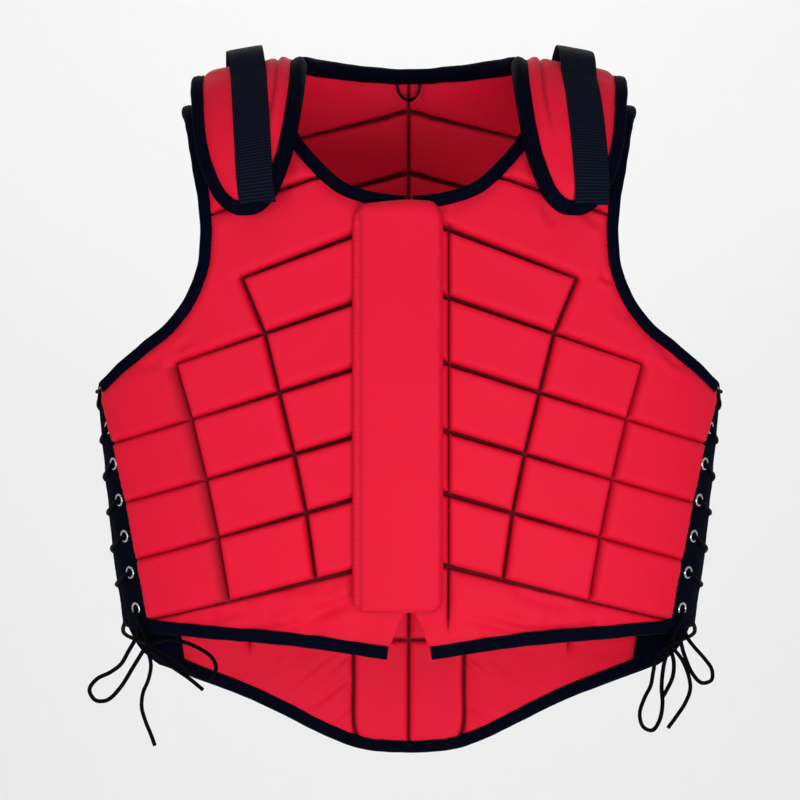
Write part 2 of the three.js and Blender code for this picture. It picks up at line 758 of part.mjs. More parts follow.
function tube(points, diameter) {
  const section = new THREE.Shape();
  section.absarc(0, 0, diameter / 2, 0, 2 * Math.PI);
  const circle = new THREE.Shape(section.getSpacedPoints(laceSides).slice(0, laceSides));
  const steps = points.length - 1;
  const settings = { steps, extrudePath: new Route(points), bevelEnabled: false };
  return facingOut(toGeometry(toSolid(new THREE.ExtrudeGeometry(circle, settings))));
}

// From the lowest eyelet a strand ends on the knot, and the one from the back passes round the side
function toKnot(face, last, place, middle) {
  const knotCentre = knotPlace(1);
  const low = -flapBottom - turnBelowFlap;
  const height = (low + eyeletHeights.at(-1)) / 2;
  const turn = [place(back, turnShare, height, laceEdgeLift), middle(low, laceEdgeLift)];
  const round = face === back ? turn : [];
  const lead = (round[0] ?? last).clone().sub(knotCentre);
  return [...round, knotCentre.add(lead.setLength(knotDiameter / 2 + clearance))];
}

// One strand: out of an eyelet, over its own flap's edge, under the other flap and up through the
// next eyelet. The strand that starts on the front passes over the other where they cross
function strand(startFace) {
  const over = startFace === front;
  const surfaces = { [front]: flapSurface(front), [back]: flapSurface(back) };
  const place = (face, share, height, lift) => {
    return surfaces[face].at(share * flapWidth(height, face), height, lift);
  };
  const middle = (height, lift) => {
    return place(front, 1, height, lift).add(place(back, 1, height, lift)).multiplyScalar(0.5);
  };
  const points = [];
  let face = startFace;
  eyeletHeights.forEach((height, k) => {
    if (k === 0 && over) points.push(middle(height, laceEdgeLift));
    if (k > 0) points.push(place(face, eyeletShare, height, -laceLift));
    points.push(place(face, eyeletShare, height, laceLift));
    if (k === eyeletCount - 1) {
      points.push(...toKnot(face, points.at(-1), place, middle));
      return;
    }
    const fall = (share) => height - share * eyeletPitch;
    if (k === 0) {
      points.push(place(face, eyeletShare, height, -laceLift));
      points.push(middle(fall(0.5), over ? -laceLift : -firstCrossDepth));
    } else {
      if (!over) points.push(place(face, 1, fall(0.3), laceEdgeLift));
      points.push(middle(fall(0.5), over ? laceOver : -laceUnder));
      if (over) points.push(place(-face, 1, fall(0.7), -laceEdgeLift));
    }
    face = -face;
  });
  return points;
}

function sideLace() {
  return tube([...strand(front).reverse(), ...strand(back)], laceDiameter);
}

// Free ends and bow loops of the laces. Each route is a list of points measured from its side's knot,
// and those marked from or to the knot start or end on it in the direction of that first or last point
const looseLaces = {
  lace_loop_outer_left: { side: -1, from: true, route: [
    [-3.2, -0.9, -2.6], [-11.5, -2, -16], [-21.5, -3, -32], [-31.5, -3.5, -41.5], [-40.5, -4, -41.5],
    [-45, -4, -33.5], [-39.5, -3, -25.5], [-29.5, -1, -20.5], [-21.5, 2, -14.5], [-16, 5, -5],
    [-11, 7.5, 4], [-8.5, 8, 11.3],
  ] },
  lace_loop_inner_left: { side: -1, from: true, to: true, route: [
    [3.4, -1.5, 2.1], [15.5, -3, 5], [27.5, -5, 3], [39.5, -5.5, -2], [49, -5, -9], [52, -4, -17.5],
    [46.5, -3, -25], [37.5, -2, -23.5], [26.5, -1, -15], [15.5, 0, -7.5], [4.1, 0.4, -1.3],
  ] },
  lace_end_outer_left: { side: -1, from: true, route: [
    [-0.2, -1.9, -3.9], [2, -3, -15], [0, -3.5, -26], [-4, -4, -36], [-5, -4, -47], [-2, -3.5, -58],
    [2, -3, -68], [5, -2.5, -76.5],
  ] },
  lace_end_inner_left: { side: -1, from: true, route: [
    [1.1, 2.4, -3.4], [10, 6.5, -11], [20, 6.5, -18.5], [31, 6, -26], [41.5, 5, -34.5],
  ] },
  lace_loop_inner_right: { side: 1, from: true, to: true, route: [
    [-3.8, -1.3, -1.5], [-10.5, -3.5, -9], [-13, -5, -20], [-15, -6.5, -30], [-20, -7, -40],
    [-23.5, -7, -52], [-20.5, -6, -62], [-13.5, -4.5, -64.5], [-8, -3, -57], [-5.5, -0.5, -45],
    [-6, 2, -32], [-4.5, 3, -17], [-1.6, 1.4, -3.7],
  ] },
  lace_end_outer_right: { side: 1, from: true, route: [
    [3.3, -0.8, -2.7], [9.5, -2, -11], [14, -3, -22], [15.5, -3.5, -33], [11.5, -3.5, -44], [5, -3, -54],
    [-1.5, -2.5, -63],
  ] },
  lace_end_inner_right: { side: 1, from: true, route: [
    [0.5, -3.3, -2.8], [2.5, -8, -12], [1.5, -10, -23], [-2.5, -10.5, -32], [-6.5, -10.5, -39],
  ] },
  lace_loop_outer_right: { side: 1, route: [
    [8.3, 8, 11.3], [9.5, 7, 1], [13, 6, -11], [18, 5, -22], [25, 4.5, -29], [32.5, 5, -27],
    [33, 6.5, -19], [27, 9, -10], [20, 13, -2], [15, 16.5, 5], [13, 17.5, 11.3],
  ] },
};

function knotPlace(side) {
  const surface = flapSurface(front);
  const place = surface.point(eyeletShare * flapWidth(-flapBottom, front), -flapBottom);
  place.add(new THREE.Vector3(-knotInward, -knotForward, -knotDrop));
  place.x *= side;
  return place;
}

function looseLace({ side, from, to, route }) {
  const points = route.map((p) => new THREE.Vector3(...p));
  if (from) points[0].setLength(knotDiameter / 2 + clearance);
  if (to) points.at(-1).setLength(knotDiameter / 2 + clearance);
  const curve = new THREE.CatmullRomCurve3(points.map((p) => p.add(knotPlace(side))), false, 'centripetal');
  const steps = Math.ceil(curve.getLength() / (3 * laceDiameter));
  return tube(curve.getSpacedPoints(steps), laceDiameter);
}

function knot(side) {
  const ball = new THREE.SphereGeometry(knotDiameter / 2, 8, 6);
  ball.translate(...knotPlace(side).toArray());
  return toGeometry(toSolid(ball));
}

// A folded tape under the middle of the back neck
function hanger() {
  const top = backNeckHalf.at(-1);
  const steps = 8;
  const frames = [];
  const high = backSurface.at(0, top.y - tapeWidth - 2 * tapeGap, -foamInside - hangerGap);
  for (let k = 0; k <= steps; k += 1) {
    const angle = Math.PI * (k / steps);
    const radial = new THREE.Vector3(Math.cos(angle), 0, -Math.sin(angle) * hangerShape);
    const place = high.clone().addScaledVector(radial, hangerWidth / 2);
    place.y -= hangerLean * Math.sin(angle);
    frames.push({ place, across: new THREE.Vector3(0, -1, 0), outward: radial.normalize() });
  }
  const section = [[0, 0], [hangerTape, 0], [hangerTape, hangerThickness], [0, hangerThickness]];
  return swept(frames, section);
}

const protector = new THREE.Group();

function piece(name, geometry, finish) {
  geometry.computeVertexNormals();
  const mesh = new THREE.Mesh(geometry, new THREE.MeshStandardMaterial(finish));
  mesh.name = name;
  protector.add(mesh);
}

// A piece for each side of the body: right is the viewer's right
function pair(name, geometry, finish) {
  piece(`${name}_right`, geometry, finish);
  piece(`${name}_left`, mirrored(geometry), finish);
}

function bound(points, surface, inwardSide) {
  return swept(edgeFrames(points, surface, inwardSide), tapeSection);
}

pair('front_panel', toGeometry(frontHalf()), red);
piece('back_panel', toGeometry(backPanel()), red);
piece('placket', toGeometry(placket()), red);
piece('front_zip', toGeometry(zip()), navy);
pair('front_neck_binding', bound(frontNeckEdge, frontSurface, 1), navy);
pair('front_armhole_binding', bound(frontArmholeEdge, frontSurface, -1), navy);
pair('front_hem_binding', bound(frontHemEdge, frontSurface, 1), navy);
piece('back_neck_binding', bound(backNeckEdge, backSurface, 1), navy);
pair('back_armhole_binding', bound(backArmholeEdge, backSurface, 1), navy);
piece('back_hem_binding', bound(backHemEdge, backSurface, -1), navy);
pair('shoulder_pad', toGeometry(shoulderPad()), red);
pair('shoulder_pad_binding', bound(padEdge(), padSurface, 1), navy);
piece('shoulder_strap_right', webbing(strapLean), navy);
piece('shoulder_strap_left', mirrored(webbing(-strapLean)), navy);
pair('front_flap', toGeometry(flap(front, flapBottom)), navy);
pair('back_flap', toGeometry(flap(back, backFlapBottom)), navy);
eyeletHeights.forEach((height, k) => {
  pair(`front_eyelet_${k + 1}`, eyelet(front, height), steel);
});
pair('side_lace', sideLace(), black);
piece('lace_knot_left', knot(-1), black);
piece('lace_knot_right', knot(1), black);
Object.entries(looseLaces).forEach(([name, lace]) => piece(name, looseLace(lace), black));
piece('neck_hanger', hanger(), navy);

export default protector;
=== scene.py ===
"""Equestrian body protector, worn form. Metres, +Z up, front towards -Y, +X the viewer's right."""
import math
import random

import bmesh
import bpy
import numpy as np
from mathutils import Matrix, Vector
from mathutils.geometry import delaunay_2d_cdt


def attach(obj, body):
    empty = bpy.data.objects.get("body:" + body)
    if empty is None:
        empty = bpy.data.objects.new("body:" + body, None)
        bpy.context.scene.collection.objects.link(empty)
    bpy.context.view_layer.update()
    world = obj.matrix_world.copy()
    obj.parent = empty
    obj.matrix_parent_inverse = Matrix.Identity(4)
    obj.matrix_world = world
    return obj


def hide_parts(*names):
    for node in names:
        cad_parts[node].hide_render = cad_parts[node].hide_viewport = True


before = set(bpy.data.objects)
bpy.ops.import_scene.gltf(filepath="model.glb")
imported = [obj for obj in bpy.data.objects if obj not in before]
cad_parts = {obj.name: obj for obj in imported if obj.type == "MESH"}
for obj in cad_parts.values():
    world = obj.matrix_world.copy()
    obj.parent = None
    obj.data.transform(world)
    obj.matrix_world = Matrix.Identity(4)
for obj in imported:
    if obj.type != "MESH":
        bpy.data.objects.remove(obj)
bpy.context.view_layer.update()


# Camera: level, in front, at the middle of the garment's height.
# A long lens, as in a catalogue picture, keeps the shoulders and the hem in true proportion.
CAMERA_AWAY = 2.5
GARMENT_MIDDLE = (-0.007, -0.2406)
camera = bpy.data.objects.new("camera", bpy.data.cameras.new("camera"))
bpy.context.scene.collection.objects.link(camera)
camera.location = (GARMENT_MIDDLE[0], -CAMERA_AWAY, GARMENT_MIDDLE[1])
camera.rotation_euler = (math.pi / 2, 0, 0)
camera.data.lens = 144
camera.data.sensor_width = 36
bpy.context.scene.camera = camera


# The trunk: the protector keeps the form of a worn body, and every sheet of it lies on this surface.
# A place on it is x across and a run: the height up to the turn of the chest, then the way over the
# shoulder. Lap is how much further out the back half lies, so that the shoulder pads can overlap it.
FRONT_LENGTH = 0.436
BACK_LENGTH = 0.526
CHEST_HALF = 0.242
FRONT_DEPTH = 0.100
BACK_DEPTH = 0.098
ROUNDNESS = 2.2
TURN_HEIGHT = 0.110
TURN_ARC = 0.155
SHOULDER_RISE = -0.004
SHOULDER_SLOPE = 0.18
NECK_HALF = 0.095
NECK_RISE = 0.050
NECK_ROUNDING = 0.018
PAD_LAP = 0.0215
SHOULDER_RUN = TURN_ARC - TURN_HEIGHT
FRONT, BACK = -1, 1
TRUNK_DOWN = [0.209, 0.432, 0.57, 0.684, 0.76, 0.817, 1.0]
TRUNK_WIDTH = [1.0, 1.0, 0.975, 0.95, 0.926, 0.909, 0.87]
TRUNK_FRONT = [0.96, 1.0, 0.98, 0.945, 0.92, 0.895, 0.8]
TRUNK_BACK = [1.0, 0.98, 0.89, 0.83, 0.83, 0.85, 0.918]


def trunk_width(height):
    return CHEST_HALF * np.interp(-height / BACK_LENGTH, TRUNK_DOWN, TRUNK_WIDTH)


def trunk_depth(height, face):
    shares = TRUNK_FRONT if face == FRONT else TRUNK_BACK
    size = FRONT_DEPTH if face == FRONT else BACK_DEPTH
    return size * np.interp(-height / BACK_LENGTH, TRUNK_DOWN, shares)


def shoulder_height(x, lap):
    away = np.abs(x)
    near = np.hypot(away, NECK_ROUNDING) - NECK_ROUNDING
    climb = np.maximum(0, 1 - near / (math.hypot(NECK_HALF, NECK_ROUNDING) - NECK_ROUNDING))
    return SHOULDER_RISE - SHOULDER_SLOPE * (away - NECK_HALF) + NECK_RISE * climb ** 2 + lap


def trunk_point(x, run, face, lap):
    x, run = np.broadcast_arrays(np.asarray(x, float), np.asarray(run, float))
    height = np.minimum(run, -TURN_HEIGHT)
    share = np.minimum(np.abs(x) / trunk_width(height), 0.998)
    bulge = (1 - share ** ROUNDNESS) ** (1 / ROUNDNESS)
    depth = (trunk_depth(height, face) + (lap if face == FRONT else 0)) * bulge
    angle = np.clip((run + TURN_HEIGHT) / TURN_ARC, 0, 1) * math.pi / 2
    rise = (shoulder_height(x, lap) + TURN_HEIGHT) * np.sin(angle) - TURN_HEIGHT
    return np.stack([x, face * depth * np.cos(angle), np.where(run <= -TURN_HEIGHT, run, rise)], -1)


def run_at(x, height, lap):
    x, height = np.broadcast_arrays(np.asarray(x, float), np.asarray(height, float))
    sine = np.clip((height + TURN_HEIGHT) / (shoulder_height(x, lap) + TURN_HEIGHT), -1, 0.9998)
    return np.where(height <= -TURN_HEIGHT, height, np.arcsin(sine) / (math.pi / 2) * TURN_ARC - TURN_HEIGHT)


def front_surface(x, run):
    return trunk_point(x, run, FRONT, 0)


def back_surface(x, run):
    return trunk_point(x, run, BACK, PAD_LAP)


def pad_surface(x, run):
    x, run = np.broadcast_arrays(np.asarray(x, float), np.asarray(run, float))
    over = run > SHOULDER_RUN
    near = trunk_point(x, np.where(over, SHOULDER_RUN, run), FRONT, PAD_LAP)
    far = trunk_point(x, np.where(over, 2 * SHOULDER_RUN - run, run), BACK, PAD_LAP)
    return np.where(over[..., None], far, near)


def normals(surface, x, run, outward, reach=5e-4):
    along = surface(x + reach, run) - surface(x - reach, run)
    up = surface(x, run + reach) - surface(x, run - reach)
    n = outward * np.cross(along, up)
    return n / np.linalg.norm(n, axis=-1, keepdims=True)


# Distance around the chest from the middle, so that a sheet's points are evenly spaced on the body.
# It is worked out once at the chest's full width and depth.
_share = np.linspace(0, 0.998, 400)
_across = CHEST_HALF * _share
_depth = FRONT_DEPTH * (1 - _share ** ROUNDNESS) ** (1 / ROUNDNESS)
_arc = np.concatenate([[0], np.cumsum(np.hypot(np.diff(_across), np.diff(_depth)))])


def to_arc(x, run):
    share = np.abs(x) / trunk_width(np.minimum(run, -TURN_HEIGHT))
    return np.sign(x) * np.interp(share, _share, _arc)


def from_arc(q, run):
    return np.sign(q) * np.interp(np.abs(q), _arc, _share) * trunk_width(np.minimum(run, -TURN_HEIGHT))


def distance_to_lines(points, lines):
    """Distance of each point to the nearest polyline, and the share along it."""
    best = np.full(len(points), 1e9)
    where = np.zeros(len(points))
    for number, line in enumerate(lines):
        line = np.asarray(line, float)
        gone = 0.0
        for a, b in zip(line[:-1], line[1:]):
            ab = b - a
            size = float(np.hypot(*ab))
            if size < 1e-9:
                continue
            t = np.clip(((points - a) @ ab) / size ** 2, 0, 1)
            d = np.hypot(*(points - a - t[:, None] * ab).T)
            near = d < best
            best = np.where(near, d, best)
            where = np.where(near, number * 7.31 + gone + t * size, where)
            gone += size
    return best, where


def inside(points, outline):
    x, y = points.T
    result = np.zeros(len(points), bool)
    for a, b in zip(outline, np.roll(outline, -1, 0)):
        cross = (a[1] > y) != (b[1] > y)
        with np.errstate(divide="ignore", invalid="ignore"):
            at = a[0] + (y - a[1]) / (b[1] - a[1]) * (b[0] - a[0])
        result ^= cross & (x < at)
    return result


def spaced(line, step, closed=False):
    """A polyline with points about one step apart that keeps its corners."""
    line = [np.asarray(p, float) for p in line]
    if closed:
        line.append(line[0])
    found = [line[0]]
    for a, b in zip(line[:-1], line[1:]):
        parts = max(1, int(round(np.hypot(*(b - a)) / step)))
        found.extend(a + (b - a) * k / parts for k in range(1, parts + 1))
    return np.array(found[:-1] if closed else found)


def catmull(points, steps, closed=False):
    """Centripetal curve through the points, cut into equal steps."""
    p = [np.asarray(v, float) for v in points]
    if closed:
        p = [p[-1]] + p + [p[0], p[1]]
    else:
        p = [2 * p[0] - p[1]] + p + [2 * p[-1] - p[-2]]
    fine = []
    for k in range(1, len(p) - 2):
        a, b, c, d = p[k - 1:k + 3]
        t0 = 0
        t1 = t0 + max(np.linalg.norm(b - a), 1e-9) ** 0.5
        t2 = t1 + max(np.linalg.norm(c - b), 1e-9) ** 0.5
        t3 = t2 + max(np.linalg.norm(d - c), 1e-9) ** 0.5
        for t in np.linspace(t1, t2, 16, endpoint=False):
            ab = (t1 - t) / (t1 - t0) * a + (t - t0) / (t1 - t0) * b
            bc = (t2 - t) / (t2 - t1) * b + (t - t1) / (t2 - t1) * c
            cd = (t3 - t) / (t3 - t2) * c + (t - t2) / (t3 - t2) * d
            abc = (t2 - t) / (t2 - t0) * ab + (t - t0) / (t2 - t0) * bc
            bcd = (t3 - t) / (t3 - t1) * bc + (t - t1) / (t3 - t1) * cd
            fine.append((t2 - t) / (t2 - t1) * abc + (t - t1) / (t2 - t1) * bcd)
    fine.append(p[-2])
    fine = np.array(fine)
    gone = np.concatenate([[0], np.cumsum(np.linalg.norm(np.diff(fine, axis=0), axis=1))])
    at = np.linspace(0, gone[-1], steps + 1)
    return np.stack([np.interp(at, gone, fine[:, k]) for k in range(fine.shape[1])], -1)


def make_object(name, points, faces, smooth=True):
    mesh = bpy.data.meshes.new(name)
    mesh.from_pydata([tuple(map(float, p)) for p in points], [], [tuple(map(int, f)) for f in faces])
    mesh.validate()
    if smooth:
        mesh.polygons.foreach_set("use_smooth", [True] * len(mesh.polygons))
    obj = bpy.data.objects.new(name, mesh)
    bpy.context.scene.collection.objects.link(obj)
    return obj


def mirror_object(obj, name):
    points = [(-v.co.x, v.co.y, v.co.z) for v in obj.data.vertices]
    faces = [tuple(reversed(f.vertices)) for f in obj.data.polygons]
    twin = make_object(name, points, faces)
    for layer in obj.data.attributes:
        # The attribute list includes the painted shade, which is copied to the mirrored twin.
        if layer.name in ("cover_u", "cover_v", "groove"):
            data = np.zeros(len(points), np.float32)
            layer.data.foreach_get("value", data)
            twin.data.attributes.new(layer.name, "FLOAT", "POINT").data.foreach_set("value", data)
    for material in obj.data.materials:
        twin.data.materials.append(material)
    return twin


def store(obj, name, values):
    layer = obj.data.attributes.new(name, "FLOAT", "POINT")
    layer.data.foreach_set("value", np.asarray(values, np.float32))


def waves(p, scale, seed, octaves=2):
    """Smooth noise made of sines in fixed directions, between about -1 and 1."""
    rng = random.Random(seed)
    total = np.zeros(len(p))
    weight = 0.0
    for octave in range(octaves):
        amp = 0.55 ** octave
        for _ in range(5):
            angle = rng.uniform(0, 2 * math.pi)
            k = 2 * math.pi / (scale * rng.uniform(0.7, 1.5)) * 1.9 ** octave
            phase = rng.uniform(0, 2 * math.pi)
            total += amp * np.sin(k * (p[:, 0] * math.cos(angle) + p[:, 1] * math.sin(angle)) + phase)
        weight += amp * 5 * 0.6
    return total / weight


# Binding tape over the edges, and how far a cover reaches under it
TAPE_WIDTH = 0.0105
TAPE_OUT = 0.007
TAPE_IN = 0.005
TAPE_LAP = 0.004


def rounded(d, radius):
    """Rise of a foam block's edge: steep at the seam, then round into the flat face."""
    t = np.clip(d / radius, 0, 1)
    return np.sqrt(np.maximum(0, 1 - (1 - t) ** 2.4))


def beside(lines, gaps, step):
    """Rows of points along both sides of the grooves, closest together where a block's edge rises."""
    found = []
    for line, gap in zip(lines, gaps):
        fine = spaced(line, step)
        along = np.gradient(fine, axis=0)
        along /= np.linalg.norm(along, axis=1, keepdims=True)
        across = np.stack([-along[:, 1], along[:, 0]], -1)
        for away in (0.0, 0.0007, 0.0018, 0.0034, 0.0056, 0.0079, 0.0103):
            reach = gap(np.abs(fine[:, 0])) + away
            for sign in (1, -1):
                moved = fine + across * (sign * reach)[:, None]
                d, _ = distance_to_lines(moved, lines)
                found.append(moved[d > reach * 0.95])
    return np.concatenate(found)


def sheet_mesh(name, outline, surface, outward, heights, spacing, lines, arc=True, bound=(), gaps=()):
    """A thick sheet over a surface. The outline and the crease lines are (x, run); heights gives the
    two faces' distances from the surface at points measured along the body. Along the bound lines the
    sheet is pressed down under its tape."""
    convert = (lambda p: np.stack([to_arc(p[:, 0], p[:, 1]), p[:, 1]], -1)) if arc else (lambda p: p)
    back = (lambda p: np.stack([from_arc(p[:, 0], p[:, 1]), p[:, 1]], -1)) if arc else (lambda p: p)
    edge = convert(spaced(outline, spacing, True))
    creases = [convert(spaced(line, spacing * 0.9)) for line in lines]
    low, high = edge.min(0), edge.max(0)
    rows = []
    step = spacing * 0.866
    for j in range(int((high[1] - low[1]) / step) + 2):
        xs = np.arange(low[0], high[0] + spacing, spacing) + (spacing / 2 if j % 2 else 0)
        rows.append(np.stack([xs, np.full(len(xs), low[1] + j * step)], -1))
    grid = np.concatenate(rows)
    grid = grid[inside(grid, edge)]
    d, _ = distance_to_lines(grid, [np.vstack([edge, edge[:1]])])
    grid = grid[d > spacing * 0.55]
    extra = []
    if creases:
        marks = np.concatenate(creases)
        bare = spacing * 0.6
        if gaps:
            marks = np.concatenate([marks, beside(creases, gaps, spacing)])
            bare = 0.0122
        marks = marks[inside(marks, edge)]
        d, _ = distance_to_lines(marks, [np.vstack([edge, edge[:1]])])
        extra = marks[d > spacing * 0.45]
        d, _ = distance_to_lines(grid, creases)
        grid = grid[d > bare]
    points = np.concatenate([edge, grid, extra]) if len(extra) else np.concatenate([edge, grid])
    ring = list(range(len(edge)))
    verts, _, faces, *_ = delaunay_2d_cdt([Vector(map(float, p)) for p in points], [], [ring], 1, 1e-7)
    flat = np.array([[v[0], v[1]] for v in verts])
    body = back(flat)
    base = surface(body[:, 0], body[:, 1])
    n = normals(surface, body[:, 0], body[:, 1], outward)
    to_edge, _ = distance_to_lines(flat, [np.vstack([edge, edge[:1]])])
    # heights also gives a painted shade per point: darker in the grooves, creases and stitched dips, standing
    # in for their shadow.
    out, within, groove = heights(flat, body, base, to_edge)
    if len(bound):
        to_tape, _ = distance_to_lines(flat, [convert(spaced(line, spacing)) for line in bound])
        ease = rounded(np.maximum(to_tape - TAPE_LAP - 0.0009, 0), 0.0075)
        out = np.minimum(out, TAPE_OUT - 0.0014 + (out - TAPE_OUT + 0.0014) * ease)
        within = np.minimum(within, TAPE_IN - 0.0012 + (within - TAPE_IN + 0.0012) * ease)
    count = len(flat)
    top = base + n * out[:, None]
    under = base - n * within[:, None]
    faces = [tuple(f) for f in faces]
    around = {(a, b): True for f in faces for a, b in zip(f, f[1:] + f[:1])}
    rim = [(a, b) for (a, b) in around if (b, a) not in around]
    sign = 1 if outward > 0 else -1
    upper = [f if sign > 0 else tuple(reversed(f)) for f in faces]
    lower = [tuple(i + count for i in reversed(f)) for f in upper]
    side = []
    for a, b in rim:
        quad = (b, a, a + count, b + count)
        side.append(quad if sign > 0 else tuple(reversed(quad)))
    obj = make_object(name, np.concatenate([top, under]), upper + lower + side)
    store(obj, "cover_u", np.concatenate([flat[:, 0]] * 2))
    store(obj, "cover_v", np.concatenate([flat[:, 1]] * 2))
    # The painted shade, read by the cloth material to darken its colour.
    store(obj, "groove", np.concatenate([groove] * 2))
    return obj


# Cloth and thread: red woven nylon over the foam, navy woven tape, ribbed navy webbing, black braided
# cord and polished steel. They are dull, with a fine weave that shows only close up.
def fabric(name, color, rough, weave, grain, sheen=0.25, spread=0.06, shade=None, gloss=0.14):
    """Woven cloth: a fine weave in the bump, soft variation of colour, and a painted shade that darkens the
    colour towards the shade colour where the grooves, creases and seams lie.
    """
    m = bpy.data.materials.new(name)
    m.use_nodes = True
    t = m.node_tree
    for node in list(t.nodes):
        t.nodes.remove(node)

    def add(kind, **values):
        node = t.nodes.new(kind)
        for key, value in values.items():
            if key in node.inputs.keys():
                node.inputs[key].default_value = value
            else:
                setattr(node, key, value)
        return node

    out = add("ShaderNodeOutputMaterial")
    shader = add("ShaderNodeBsdfPrincipled", Roughness=rough)
    shader.inputs["Sheen Weight"].default_value = sheen
    shader.inputs["Sheen Roughness"].default_value = 0.4
    shader.inputs["Specular IOR Level"].default_value = gloss
    shader.inputs["Sheen Tint"].default_value = (*[min(1, c * 1.6 + 0.05) for c in color], 1)
    t.links.new(shader.outputs[0], out.inputs[0])
    place = add("ShaderNodeTexCoord")
    soft = add("ShaderNodeTexNoise", Scale=14.0, Detail=3.0)
    t.links.new(place.outputs["Object"], soft.inputs["Vector"])
    ramp = add("ShaderNodeMix", data_type="RGBA")
    ramp.inputs["A"].default_value = (*[c * (1 - spread) for c in color], 1)
    ramp.inputs["B"].default_value = (*[min(1, c * (1 + spread)) for c in color], 1)
    t.links.new(soft.outputs["Fac"], ramp.inputs["Factor"])
    last = ramp.outputs["Result"]
    if shade:
        # Painted shade: the per-point attribute darkens the colour towards the shade colour in grooves,
        # creases and beside the outer seams, standing in for their shadow.
        seam = add("ShaderNodeAttribute", attribute_name="groove")
        mix = add("ShaderNodeMix", data_type="RGBA")
        mix.inputs["B"].default_value = (*shade, 1)
        t.links.new(seam.outputs["Fac"], mix.inputs["Factor"])
        t.links.new(last, mix.inputs["A"])
        last = mix.outputs["Result"]
    t.links.new(last, shader.inputs["Base Color"])
    fine = add("ShaderNodeTexNoise", Scale=grain, Detail=2.0)
    t.links.new(place.outputs["Object"], fine.inputs["Vector"])
    threads = add("ShaderNodeTexWave", Scale=weave, Distortion=1.5, Detail=1.0)
    threads.bands_direction = "DIAGONAL"
    t.links.new(place.outputs["Object"], threads.inputs["Vector"])
    both = add("ShaderNodeMath", operation="ADD")
    t.links.new(fine.outputs["Fac"], both.inputs[0])
    t.links.new(threads.outputs["Fac"], both.inputs[1])
    bump = add("ShaderNodeBump", Strength=0.18, Distance=0.0004)
    t.links.new(both.outputs[0], bump.inputs["Height"])
    t.links.new(bump.outputs[0], shader.inputs["Normal"])
    return m


def ribbed(m):
    """Webbing: picks of the weave show as rows of small pale specks across the strap."""
    t = m.node_tree
    shader = next(n for n in t.nodes if n.type == "BSDF_PRINCIPLED")
    u = t.nodes.new("ShaderNodeAttribute")
    u.attribute_name = "cover_u"
    v = t.nodes.new("ShaderNodeAttribute")
    v.attribute_name = "cover_v"
    place = t.nodes.new("ShaderNodeCombineXYZ")
    t.links.new(u.outputs["Fac"], place.inputs[0])
    t.links.new(v.outputs["Fac"], place.inputs[1])
    rows = t.nodes.new("ShaderNodeTexWave")
    rows.bands_direction = "Y"
    rows.inputs["Scale"].default_value = 165.0
    rows.inputs["Distortion"].default_value = 0.6
    t.links.new(place.outputs[0], rows.inputs["Vector"])
    ends = t.nodes.new("ShaderNodeTexWave")
    ends.bands_direction = "X"
    ends.inputs["Scale"].default_value = 230.0
    ends.inputs["Distortion"].default_value = 1.2
    t.links.new(place.outputs[0], ends.inputs["Vector"])
    both = t.nodes.new("ShaderNodeMath")
    both.operation = "MULTIPLY"
    t.links.new(rows.outputs["Fac"], both.inputs[0])
    t.links.new(ends.outputs["Fac"], both.inputs[1])
    mix = t.nodes.new("ShaderNodeMix")
    mix.data_type = "RGBA"
    t.links.new(shader.inputs["Base Color"].links[0].from_socket, mix.inputs["A"])
    mix.inputs["B"].default_value = (0.014, 0.019, 0.036, 1)
    t.links.new(both.outputs[0], mix.inputs["Factor"])
    t.links.new(mix.outputs["Result"], shader.inputs["Base Color"])
    bump = t.nodes.new("ShaderNodeBump")
    bump.inputs["Strength"].default_value = 0.5
    bump.inputs["Distance"].default_value = 0.0006
    t.links.new(both.outputs[0], bump.inputs["Height"])
    t.links.new(shader.inputs["Normal"].links[0].from_socket, bump.inputs["Normal"])
    t.links.new(bump.outputs[0], shader.inputs["Normal"])


# Colour of the painted shade in the grooves and beside the seams: a deep red that stands in for their shadow.
PAINTED_SHADE_RED = (0.085, 0.0, 0.003)
red_nylon = fabric("red_nylon", (0.77, 0.0050, 0.034), 0.62, 900.0, 1500.0, 0.02, 0.04, PAINTED_SHADE_RED)
navy_tape = fabric("navy_tape", (0.0009, 0.0016, 0.0075), 0.7, 700.0, 900.0, 0.004, 0.15, gloss=0.02)
navy_webbing = fabric("navy_webbing", (0.0009, 0.0016, 0.0070), 0.6, 420.0, 600.0, 0.004, 0.2, gloss=0.03)
ribbed(navy_webbing)
black_cord = fabric("black_cord", (0.0010, 0.0010, 0.0022), 0.6, 700.0, 900.0, 0.004, 0.1, gloss=0.035)

steel = bpy.data.materials.new("eyelet_steel")
steel.use_nodes = True
_s = steel.node_tree.nodes["Principled BSDF"]
_s.inputs["Base Color"].default_value = (0.72, 0.73, 0.76, 1)
_s.inputs["Metallic"].default_value = 1
_s.inputs["Roughness"].default_value = 0.22


def finished(obj, material, slot, *nodes):
    if material and not obj.data.materials:
        obj.data.materials.append(material)
    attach(obj, "root")
    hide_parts(*nodes)
    return obj


# Edges of the panels, where the navy tape folds over them. Each table has a row for each point of
# one edge: share of the chest's half width, share of the panel's length downwards. They are the
# same shares as the solids'.
def edge_from(table, length, lap):
    pts = np.array(table)
    x = pts[:, 0] * CHEST_HALF
    return np.stack([x, run_at(x, -pts[:, 1] * length, lap)], -1)


